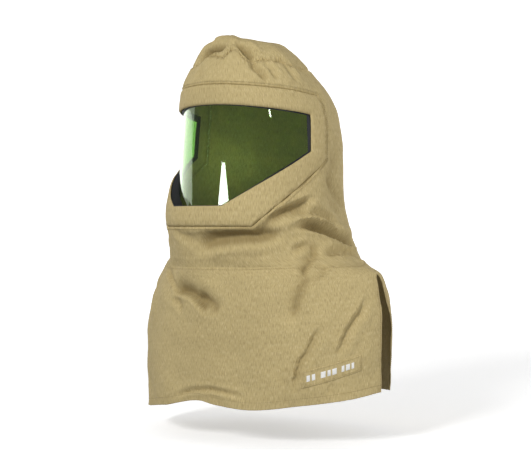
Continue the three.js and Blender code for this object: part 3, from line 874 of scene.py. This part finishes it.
def mix_colour(nodes, link, factor, first, second, most=1.0):
    """First where the factor is 0, and up to a share of second where it is 1."""
    if most < 1:
        scaled = nodes.new("ShaderNodeMath")
        scaled.operation = "MULTIPLY"
        scaled.inputs[1].default_value = most
        link(factor, scaled.inputs[0])
        factor = scaled.outputs[0]
    mix = nodes.new("ShaderNodeMix")
    mix.data_type = "RGBA"
    link(factor, mix.inputs["Factor"])
    for value, socket in ((first, mix.inputs["A"]), (second, mix.inputs["B"])):
        if isinstance(value, bpy.types.NodeSocket):
            link(value, socket)
        else:
            socket.default_value = (*value, 1.0)
    return mix.outputs["Result"]


def weave(nodes, link, source, pitch):
    """A plain weave's height: the higher of two sets of yarns that cross."""
    split = nodes.new("ShaderNodeSeparateXYZ")
    link(source, split.inputs[0])
    waves = []
    for axis in (0, 1):
        turn = nodes.new("ShaderNodeMath")
        turn.operation = "MULTIPLY"
        turn.inputs[1].default_value = 2 * math.pi / pitch
        link(split.outputs[axis], turn.inputs[0])
        sine = nodes.new("ShaderNodeMath")
        sine.operation = "SINE"
        link(turn.outputs[0], sine.inputs[0])
        waves.append(sine.outputs[0])
    crossed = nodes.new("ShaderNodeMath")
    crossed.operation = "MULTIPLY"
    link(waves[0], crossed.inputs[0])
    link(waves[1], crossed.inputs[1])
    return crossed.outputs[0]


def bump_from(nodes, link, shader, layers):
    """Bumps laid over each other, each a height and how high it is in metres."""
    below = None
    for height, metres in layers:
        bump = nodes.new("ShaderNodeBump")
        bump.inputs["Distance"].default_value = metres
        link(height, bump.inputs["Height"])
        if below is not None:
            link(below, bump.inputs["Normal"])
        below = bump.outputs["Normal"]
    link(below, shader.inputs["Normal"])


def thread_material():
    c = group("hood_colours")
    material, nodes, link, shader = new_material("tan_thread")
    place = nodes.new("ShaderNodeTexCoord")
    twist = stretched_noise(nodes, link, place.outputs["Object"], 2500, 2500, 1.0)
    link(mix_colour(nodes, link, twist, c.cloth_dark, c.cloth, 0.8), shader.inputs["Base Color"])
    shader.inputs["Roughness"].default_value = 0.6
    bump_from(nodes, link, shader, [(twist, 0.0001)])
    return material


def white_thread_material():
    material, nodes, link, shader = new_material("white_thread")
    uv = nodes.new("ShaderNodeUVMap")
    uv.uv_map = "cut"
    satin = stretched_noise(nodes, link, uv.outputs[0], 3000, 300, 1.0)
    white, grey = (0.82, 0.82, 0.8), (0.62, 0.61, 0.57)
    link(mix_colour(nodes, link, satin, white, grey, 0.7), shader.inputs["Base Color"])
    shader.inputs["Roughness"].default_value = 0.5
    bump_from(nodes, link, shader, [(satin, 0.00015)])
    return material


def gasket_material():
    c = group("hood_colours")
    material, nodes, link, shader = new_material("black_rubber")
    place = nodes.new("ShaderNodeTexCoord")
    grain = stretched_noise(nodes, link, place.outputs["Object"], 900, 900, 3.0)
    link(mix_colour(nodes, link, grain, c.gasket, (0.03, 0.031, 0.034)), shader.inputs["Base Color"])
    link(ramp(nodes, link, grain, -0.8, 1.6), shader.inputs["Roughness"])
    bump_from(nodes, link, shader, [(grain, 0.00008)])
    return material


def shield_material():
    """Green tinted plastic, clear and glossy, with faint wiping marks."""
    c = group("hood_colours")
    material, nodes, link, shader = new_material("green_shield")
    place = nodes.new("ShaderNodeTexCoord")
    wiping = stretched_noise(nodes, link, place.outputs["Object"], 60, 25, 4.0)
    tint = mix_colour(nodes, link, ramp(nodes, link, wiping, 0.35, 0.75), c.shield, (0.41, 0.66, 0.24))
    link(tint, shader.inputs["Base Color"])
    shader.inputs["Transmission Weight"].default_value = 1.0
    shader.inputs["Roughness"].default_value = 0.02
    shader.inputs["IOR"].default_value = 1.5
    return material


def panel_crown(form, material):
    """The top of the hood, inside the crown seam."""
    s = form.sizes
    turns = np.linspace(-180, 180, 1 + int(math.pi * CROWN_ACROSS / s.grid))
    seam = crown_seam(turns)
    shares = spread(CROWN_RUN, s.grid, False, True)
    turn, share = np.meshgrid(turns, shares)
    seam_knots = np.interp(seam, form.fine_levels, form.fine_knots)
    first_knot = 0.03
    knot = first_knot + (seam_knots[None, :] - first_knot) * share
    level = np.interp(knot, form.fine_knots, form.fine_levels)
    edge = (1 - share) * CROWN_RUN
    points = form.surface(turn, form.drop(level), edge_inset(edge, s.edge_round))
    points[0, :] = points[0, :].mean(0)
    uv, painted_shade = cut_map(turn * 0.6, share * CROWN_RUN), form.painted_shade(turn, form.drop(level))
    crown = joined("crown_cloth", [grid_object("crown_cloth", points, uv, painted_shade)])
    thickened(crown, s.wall)
    placed(crown, material, "cloth", "crown_panel")
    return crown


def panel_hood(form, material):
    """The cloth round the head, in three bands that share their edges: above the facing, beside it and
    below it."""
    s = form.sizes
    margin = form.window.facing + GAP
    reach = form.outline(margin)["reach"]
    columns = 1 + int(math.radians(2 * reach) * HOOD_RADIUS / s.grid)
    inside = np.linspace(-reach, reach, columns)
    outside = np.linspace(reach, 360 - reach, columns)
    turns = np.concatenate([inside, outside[1:]])
    held = np.clip(np.abs(from_ahead(turns)), 0, reach)
    top, bottom = form.top_edge(held, margin), form.bottom_edge(held, margin)
    seam = form.drop(crown_seam(turns))
    neck = form.drop(neck_seam(turns, s))
    bands = [
        (turns, seam, top, spread(BAND_RUNS["above"], s.grid, True, True)),
        (outside, top[-columns:], bottom[-columns:], spread(BAND_RUNS["beside"], s.grid, False, False)),
        (turns, bottom, neck, spread(BAND_RUNS["below"], s.grid, True, True)),
    ]
    pieces = []
    for band_turns, high, low, shares in bands:
        turn, share = np.meshgrid(band_turns, shares)
        drop = high + (low - high) * share
        flat_turn, flat_drop = turn.ravel(), drop.ravel()
        edge = np.minimum.reduce([
            np.abs(form.outline_distance(flat_turn, flat_drop, margin)),
            (flat_drop - form.drop(crown_seam(flat_turn))) * 1.2,
        ]).reshape(turn.shape)
        points = form.surface(turn, drop, edge_inset(edge, s.edge_round))
        pieces.append(grid_object("hood_cloth", points, cut_map(turn, drop), form.painted_shade(turn, drop)))
    hood = joined("hood_cloth", pieces)
    thickened(hood, s.wall)
    placed(hood, material, "cloth", "hood_body")
    return hood


def panel_facing(form, material):
    """The sewn band round the window, cut with mitred corners."""
    s = form.sizes
    inner = closed_ring(form, 0.0, RING_COUNTS)
    outer = closed_ring(form, form.window.facing, RING_COUNTS)
    shares = spread(form.window.facing, s.grid, True, True)[:, None, None]
    places = outer[None] + (inner - outer)[None] * shares
    turn, drop = places[..., 0], places[..., 1]
    edge = np.minimum(shares, 1 - shares)[..., 0] * form.window.facing
    edge = np.broadcast_to(edge, turn.shape)
    puff = 0.0016 * smooth(edge / 0.003)
    points = form.surface(turn, drop, edge_inset(edge, s.edge_round) + puff)
    facing = joined("facing_cloth", [grid_object("facing_cloth", points, cut_map(turn, drop))])
    thickened(facing, s.wall)
    placed(facing, material, "cloth", "window_facing")
    return facing


def closed_ring(form, margin, counts):
    """Points round the window's outline that end where they start."""
    ring = form.outline_ring(margin, counts)
    return np.concatenate([ring, ring[:1]])


def bare_surface(form, turn, drop, lift):
    """The hood's form without folds, for the hard pieces that only follow it."""
    level = form.level(drop)
    return form.plain(turn, level) + form.normal(turn, level) * np.asarray(lift)[..., None]


def shield_surface(form, turn, drop):
    """The shield's outer side: a sheet that is bent round the head and straight from brow to chin."""
    w = form.window
    high, low = w.top - w.overlap, w.top + w.height + w.overlap
    turn, drop = np.broadcast_arrays(np.asarray(turn, float), np.asarray(drop, float))
    flat = turn.ravel()
    nearer = smooth((np.abs(flat) - 38) / 42)
    top = bare_surface(form, flat, np.full(flat.shape, high), -w.inset_top * (1 - 0.72 * nearer))
    foot = bare_surface(form, flat, np.full(flat.shape, low), -w.inset_bottom * (1 - 0.7 * nearer))
    share = ((drop.ravel() - high) / (low - high))[:, None]
    return (top + (foot - top) * share).reshape(*turn.shape, 3)


def piece_shield(form, material):
    """The curved green shield, a little larger than the window."""
    w = form.window
    reach = form.outline(w.overlap)["reach"]
    turn, share = np.meshgrid(np.linspace(-reach, reach, 181), np.linspace(0, 1, 61))
    top, bottom = form.top_edge(turn, w.overlap), form.bottom_edge(turn, w.overlap)
    drop = top + (bottom - top) * share
    points = shield_surface(form, turn, drop)
    shield = joined("green_shield", [grid_object("green_shield", points, cut_map(turn, drop))])
    thickened(shield, w.shield, angle=40)
    return placed(shield, material, "shield", "face_shield")


def piece_gasket(form, material):
    """The black edge between the facing and the shield, a closed ring with rounded corners."""
    w = form.window
    outer_margin = 0.009
    inner = closed_ring(form, -w.lip, RING_COUNTS)
    outer = closed_ring(form, outer_margin, RING_COUNTS)
    rows = []
    for across, through in GASKET_SECTION:
        places = inner + (outer - inner) * across
        turn, drop = places[:, 0], places[:, 1]
        front = bare_surface(form, turn, drop, np.full(turn.shape, -(form.sizes.wall + 2 * GAP)))
        back = shield_surface(form, turn, drop)
        gap = 1 - GAP / np.linalg.norm(back - front, axis=1, keepdims=True)
        rows.append(front + (back - front) * gap * through)
    points = np.array(rows)
    uv = np.zeros((*points.shape[:2], 2))
    gasket = joined("black_gasket", [grid_object("black_gasket", points, uv)])
    bpy.ops.object.mode_set(mode="EDIT")
    bpy.ops.mesh.select_all(action="SELECT")
    bpy.ops.mesh.normals_make_consistent(inside=False)
    bpy.ops.object.mode_set(mode="OBJECT")
    bpy.ops.object.shade_smooth_by_angle(angle=math.radians(40))
    return placed(gasket, material, "gasket", "window_gasket")


def bib_grid(form, is_front):
    """Turns and levels of one bib panel: rows from the neck seam to the hem, and evenly spaced columns
    between the side edges."""
    s = form.sizes
    shares = spread(s.bib_drop, s.grid, True, True)
    middle = 0.0 if is_front else 180.0
    edges = []
    for way in (-1, 1):
        near, far = np.zeros(len(shares)), np.full(len(shares), 170.0)
        for _ in range(40):
            half = (near + far) / 2
            turn = middle + way * half
            seam = neck_seam(turn, s)
            points = form.plain(turn, seam + (2 - seam) * shares)
            past = points[:, 1] - slit_line(points[:, 2], is_front, s)
            over = past > 0 if is_front else past < 0
            far, near = np.where(over, half, far), np.where(over, near, half)
        edges.append(middle + way * (near + far) / 2)
    columns = spread(BIB_RUNS["front" if is_front else "back"], s.grid, True, True)
    fine = np.linspace(0, 1, 401)
    turns = np.empty((len(shares), len(columns)))
    for r, share in enumerate(shares):
        way = edges[0][r] + (edges[1][r] - edges[0][r]) * fine
        seam = neck_seam(way, s)
        points = form.plain(way, seam + (2 - seam) * share)
        length = run_along(points)
        turns[r] = np.interp(columns, length / length[-1], way)
    seam = neck_seam(turns, s)
    levels = seam + (2 - seam) * shares[:, None]
    return turns, levels, shares, columns


def panel_bib(form, material, is_front):
    """The bib's front or back, from the neck seam to the hem and between the arm slits."""
    s = form.sizes
    turns, levels, shares, columns = bib_grid(form, is_front)
    width = BIB_RUNS["front" if is_front else "back"]
    drop_share = (1 - shares)[:, None] * s.bib_drop
    side_share = np.minimum(columns, 1 - columns)[None, :] * width
    edge = np.minimum(drop_share, side_share)
    points = form.surface(turns, form.drop(levels), edge_inset(edge, s.edge_round))
    name = "bib_front_cloth" if is_front else "bib_back_cloth"
    uv = np.stack(np.broadcast_arrays((columns - 0.5)[None, :] * width, -shares[:, None] * s.bib_drop), -1)
    bib = joined(name, [grid_object(name, points, uv, form.painted_shade(turns, form.drop(levels)))])
    thickened(bib, s.wall)
    placed(bib, material, "cloth", "bib_front" if is_front else "bib_back")
    return bib


def stitch_shape(sizes):
    """One stitch as it lies on the cloth, along X: a thread that rises from its hole and dips back."""
    bpy.ops.object.select_all(action="DESELECT")
    bpy.ops.mesh.primitive_uv_sphere_add(segments=6, ring_count=5, radius=1.0)
    stitch = bpy.context.object
    corners = np.array([v.co[:] for v in stitch.data.vertices])
    faces = [tuple(p.vertices) for p in stitch.data.polygons]
    bpy.data.objects.remove(stitch)
    corners = corners[:, [2, 1, 0]] * np.array([sizes.length / 2, sizes.thread, -sizes.thread])
    return corners, faces


def spots_at(stops, length, values):
    """The values of a path at some distances along it."""
    return np.stack([np.interp(stops, length, values[:, k]) for k in range(3)], -1)


def stitched(name, form, rows, lift):
    """Rows of stitches as one mesh. Each row is a path of (turn, drop) places on the cloth."""
    sizes = group("sewing_sizes")
    corners, faces = stitch_shape(sizes)
    all_points, all_faces = [], []
    for row in rows:
        path = np.array(row)
        points = form.surface(path[:, 0], path[:, 1], lift)
        normals = form.normal(path[:, 0], form.level(path[:, 1]))
        length = run_along(points)
        stops = np.arange(sizes.pitch / 2, length[-1], sizes.pitch)
        middle, up = spots_at(stops, length, points), unit(spots_at(stops, length, normals))
        ends = [spots_at(stops + way * sizes.length / 2, length, points) for way in (1, -1)]
        along = unit(ends[0] - ends[1])
        across = unit(np.cross(up, along))
        axes = np.stack([along, across, np.cross(along, across)], 1)
        placed_corners = middle[:, None] + corners[None] @ axes
        start = sum(len(p) for p in all_points)
        all_points.append(placed_corners.reshape(-1, 3))
        for k in range(len(stops)):
            offset = start + k * len(corners)
            all_faces += [tuple(c + offset for c in face) for face in faces]
    mesh = bpy.data.meshes.new(name)
    mesh.from_pydata(np.concatenate(all_points).tolist(), [], all_faces)
    piece = bpy.data.objects.new(name, mesh)
    bpy.context.collection.objects.link(piece)
    mesh.shade_smooth()
    return piece


def bib_row(form, is_front, inset, part):
    """A row of stitches inside a bib panel's edge: along its hem, or down one of its sides."""
    turns, levels, shares, columns = bib_grid(form, is_front)
    width = BIB_RUNS["front" if is_front else "back"]
    drops = form.drop(levels)
    if part == "hem":
        row = int(np.interp(1 - inset / form.sizes.bib_drop, shares, np.arange(len(shares))))
        return np.stack([turns[row], drops[row]], -1)
    column = int(np.interp(inset / width, columns, np.arange(len(columns))))
    if part == "high":
        column = len(columns) - 1 - column
    below_shoulder = slice(30, None)
    return np.stack([turns[below_shoulder, column], drops[below_shoulder, column]], -1)


def label_places(form, across, up):
    """Turns and drops of places on the label, by their shares across and up it."""
    sew, s = group("sewing_sizes"), form.sizes
    whole = s.head_drop + s.bib_drop
    ends = form.plain(np.full(2, sew.label_turn), form.level(np.array([whole, whole - sew.label_above])))
    per_drop = np.linalg.norm(ends[0] - ends[1]) / sew.label_above
    middle = whole - sew.label_above / per_drop
    level = form.level(np.array([middle]))
    step = form.plain(np.array([sew.label_turn + 1]), level) - form.plain(np.array([sew.label_turn]), level)
    per_degree = np.linalg.norm(step)
    along = sew.label_width * (across - 0.5)
    down = sew.label_height * (0.5 - up) - along * math.tan(math.radians(sew.label_slope))
    return sew.label_turn + along / per_degree, middle + down / per_drop


def piece_label(form, material):
    """The sewn label, a plain folded patch."""
    sew = group("sewing_sizes")
    across, up = np.meshgrid(
        spread(sew.label_width, 0.002, True, True), 1 - spread(sew.label_height, 0.002, True, True)
    )
    turn, drop = label_places(form, across, up)
    from_side = np.minimum(across, 1 - across) * sew.label_width
    from_foot = np.minimum(up, 1 - up) * sew.label_height
    edge = np.minimum(from_side, from_foot)
    lift = 0.0012 + 0.7 * edge_inset(edge, 0.001)
    points = form.surface(turn, drop, lift)
    uv = np.stack([across * sew.label_width + 0.31, up * sew.label_height], -1)
    label = joined("label_patch", [grid_object("label_patch", points, uv)])
    thickened(label, 0.001)
    placed(label, material, "label", "sewn_label")
    return label


def label_bars(form, material):
    """Plain white embroidered bars, in groups of different widths, on the label."""
    sew = group("sewing_sizes")
    start, pieces = BAR_START, []
    for width in BAR_WIDTHS:
        if width:
            across, up = np.meshgrid(np.linspace(start, start + width, 9), np.linspace(BAR_HIGH, BAR_LOW, 9))
            turn, drop = label_places(form, across, up)
            round_off = np.minimum.reduce([
                (across - start) * sew.label_width,
                (start + width - across) * sew.label_width,
                (up - BAR_LOW) * sew.label_height,
                (BAR_HIGH - up) * sew.label_height,
            ])
            lift = 0.00125 + 0.0005 * smooth(round_off / 0.0008)
            points = form.surface(turn, drop, lift)
            uv = np.stack([across * sew.label_width, up * sew.label_height], -1)
            pieces.append(grid_object("white_bars", points, uv))
        start += (width or GROUP_GAP) + BAR_GAP
    bars = joined("white_bars", pieces)
    thickened(bars, 0.0005)
    return placed(bars, material, "label")


class HOOD_OT_cloth(Operator):
    """Models the five cloth panels"""

    bl_idname = "hood.cloth"
    bl_label = "Cloth panels"

    def execute(self, context):
        form, cloth = ClothForm(), cloth_material()
        panel_hood(form, cloth)
        panel_crown(form, cloth)
        panel_facing(form, cloth)
        panel_bib(form, cloth, True)
        panel_bib(form, cloth, False)
        return {"FINISHED"}


class HOOD_OT_window(Operator):
    """Models the green shield and its black gasket"""

    bl_idname = "hood.window"
    bl_label = "Shield and gasket"

    def execute(self, context):
        form = ClothForm()
        piece_shield(form, shield_material())
        piece_gasket(form, gasket_material())
        return {"FINISHED"}


class HOOD_OT_sewing(Operator):
    """Sews the seams and the label with rows of thread"""

    bl_idname = "hood.sewing"
    bl_label = "Stitches and label"

    def execute(self, context):
        form, sew = ClothForm(), group("sewing_sizes")
        thread = thread_material()
        facing, inset = form.window.facing, sew.inset
        margins = (inset, facing - 0.004, facing + 0.004)
        window_rows = [closed_ring(form, margin, STITCH_RING_COUNTS) for margin in margins]
        placed(stitched("window_stitches", form, window_rows, 0.0008), thread, "cloth")
        turns = np.linspace(-180, 180, 721)
        seams = [
            np.stack([turns, form.drop(crown_seam(turns)) + 0.004], -1),
            np.stack([turns, form.drop(neck_seam(turns, form.sizes)) + 0.005], -1),
        ]
        placed(stitched("seam_stitches", form, seams, 0.0002), thread, "cloth")
        bib_rows = []
        for is_front in (True, False):
            bib_rows.append(bib_row(form, is_front, 0.012, "hem"))
            bib_rows += [bib_row(form, is_front, inset, part) for part in ("low", "high")]
        placed(stitched("hem_stitches", form, bib_rows, 0.0002), thread, "cloth")
        piece_label(form, cloth_material())
        border = np.array([(0.03, 0.1), (0.97, 0.1), (0.97, 0.9), (0.03, 0.9), (0.03, 0.1)])
        way = np.concatenate([np.linspace(a, b, 40) for a, b in zip(border[:-1], border[1:])])
        row = np.stack(label_places(form, way[:, 0], way[:, 1]), -1)
        placed(stitched("label_stitches", form, [row], 0.0013), thread, "label")
        label_bars(form, white_thread_material())
        return {"FINISHED"}


def glowing(name, colour, strength):
    """A matte stage material that glows white."""
    material, nodes, link, shader = new_material(name)
    shader.inputs["Base Color"].default_value = (*colour, 1)
    shader.inputs["Roughness"].default_value = 0.9
    shader.inputs["Emission Color"].default_value = (1, 1, 1, 1)
    shader.inputs["Emission Strength"].default_value = strength
    return material


def reflection_spot(form, view, pixel, distance):
    """The place that the shield mirrors to the camera at one of the photograph's pixels."""
    turn, drop = np.meshgrid(np.arange(-86, 86, 0.4), np.arange(0.1, 0.28, 0.0008))
    points = shield_surface(form, turn, drop)
    normals = unit(np.cross(np.gradient(points, axis=0), np.gradient(points, axis=1)))
    off = ((view.pixels(points) - np.array(pixel)) ** 2).sum(-1)
    off[(normals @ view.towards) <= 0.01] = FAR
    k = np.unravel_index(off.argmin(), off.shape)
    ray = unit(points[k] - view.place)
    return points[k] + (ray - 2 * (ray @ normals[k]) * normals[k]) * distance


def area_light(name, place, aim, size, power):
    bpy.ops.object.light_add(type="AREA", location=place)
    light = bpy.context.object
    light.name = name
    light.data.shape = "RECTANGLE"
    light.data.size, light.data.size_y = size
    light.data.energy = power
    light.rotation_euler = (Vector(aim) - Vector(place)).to_track_quat("-Z", "Y").to_euler()
    light.visible_glossy = light.visible_transmission = False
    return light


def around_camera(view, turn, height, distance):
    """A place by its turn to the right of the camera, seen from the hood's axis, its height and distance."""
    a = math.radians(turn)
    way = view.towards * math.cos(a) + view.right * math.sin(a)
    return Vector(way * distance) + Vector((0, 0, height))


class HOOD_OT_stage(Operator):
    """Sets the floor, the backdrop, the lights and the camera"""

    bl_idname = "hood.stage"
    bl_label = "Stage"

    def execute(self, context):
        sizes = group("view_sizes")
        view = PhotoView(sizes)
        floor_level = cad_low.z - 0.03
        self.backdrop(view, floor_level)
        self.lights(view)
        self.camera(view, sizes)
        world = bpy.data.worlds.new("studio")
        bpy.context.scene.world = world
        world.use_nodes = True
        sky = world.node_tree.nodes["Background"]
        sky.inputs["Color"].default_value = (1, 1, 1, 1)
        sky.inputs["Strength"].default_value = 0.25
        bpy.context.scene.view_settings.view_transform = "Standard"
        return {"FINISHED"}

    def backdrop(self, view, floor_level):
        """A pale floor, and a pale wall that curves round behind the hood."""
        bpy.ops.object.select_all(action="DESELECT")
        bpy.ops.mesh.primitive_plane_add(size=8.0, location=(0, 0, floor_level))
        floor = bpy.context.object
        floor.name = "stage_floor"
        floor.data.materials.append(glowing("pale_floor", group("hood_colours").stage, 0.4))
        floor.visible_diffuse = False
        material = glowing("pale_wall", group("hood_colours").stage, 0.75)
        for name, start, end in (("stage_wall", 108, 252), ("stage_wall_front", 252, 468)):
            turn, rise = np.meshgrid(np.linspace(start, end, 49), np.linspace(2.6, 0, 5))
            a = np.radians(turn)[..., None]
            points = (view.towards * np.cos(a) + view.right * np.sin(a)) * 3.7
            points[..., 2] = floor_level + rise
            wall = grid_object(name, points, np.zeros((*turn.shape, 2)))
            bpy.ops.object.shade_smooth()
            wall.data.materials.append(material)
        wall.visible_diffuse = wall.visible_glossy = wall.visible_transmission = wall.visible_shadow = False

    def lights(self, view):
        aim = (0, 0, -0.3)
        area_light("key", around_camera(view, -30, 1.05, 3.1), aim, (0.7, 0.7), 86)
        area_light("fill", around_camera(view, 62, 0.0, 2.8), aim, (1.3, 1.3), 39)
        bpy.ops.object.light_add(type="POINT", location=(-0.05, 0.03, -0.19))
        inner = bpy.context.object
        inner.name = "inner_glow"
        inner.data.energy = 0.11
        inner.data.shadow_soft_size = 0.02
        inner.visible_camera = inner.visible_glossy = inner.visible_transmission = False
        form = ClothForm()
        for name, corners, strength in REFLECTIONS:
            spots = [reflection_spot(form, view, pixel, 1.9) for pixel in corners]
            points = np.array([[spots[0], spots[1]], [spots[3], spots[2]]])
            card = grid_object(name, points, np.zeros((2, 2, 2)))
            card.data.materials.append(glowing(name, (0, 0, 0), strength))
            card.visible_camera = card.visible_diffuse = card.visible_shadow = False

    def camera(self, view, sizes):
        bpy.ops.object.camera_add(location=Vector(view.place))
        camera = bpy.context.object
        camera.rotation_euler = Vector(-view.towards).to_track_quat("-Z", "Y").to_euler()
        camera.data.sensor_width = 36
        camera.data.lens = 36 * sizes.distance / (sizes.width * sizes.pixel)
        camera.data.clip_end = 30
        bpy.context.scene.camera = camera


class HOOD_PT_parts(Panel):
    """Lists the hood's sizes and the steps that model it"""

    bl_idname = "HOOD_PT_parts"
    bl_label = "Arc flash hood"
    bl_space_type = "VIEW_3D"
    bl_region_type = "UI"
    bl_category = "Hood"

    def draw(self, context):
        for operator in OPERATORS:
            self.layout.operator(operator.bl_idname)
        for name, kind in GROUPS:
            box = self.layout.box()
            for key in kind.__annotations__:
                box.prop(getattr(context.scene, name), key)


GROUPS = (
    ("hood_sizes", HoodSizes),
    ("window_sizes", WindowSizes),
    ("sewing_sizes", SewingSizes),
    ("hood_colours", HoodColours),
    ("view_sizes", ViewSizes),
)
OPERATORS = (HOOD_OT_stage, HOOD_OT_cloth, HOOD_OT_window, HOOD_OT_sewing)


def register():
    for name, kind in GROUPS:
        bpy.utils.register_class(kind)
        setattr(bpy.types.Scene, name, PointerProperty(type=kind))
    for kind in (*OPERATORS, HOOD_PT_parts):
        bpy.utils.register_class(kind)


def unregister():
    for kind in (HOOD_PT_parts, *reversed(OPERATORS)):
        bpy.utils.unregister_class(kind)
    for name, kind in reversed(GROUPS):
        delattr(bpy.types.Scene, name)
        bpy.utils.unregister_class(kind)


def main():
    register()
    bpy.ops.hood.stage()
    bpy.ops.hood.cloth()
    bpy.ops.hood.window()
    bpy.ops.hood.sewing()


if __name__ == "__main__":
    main()
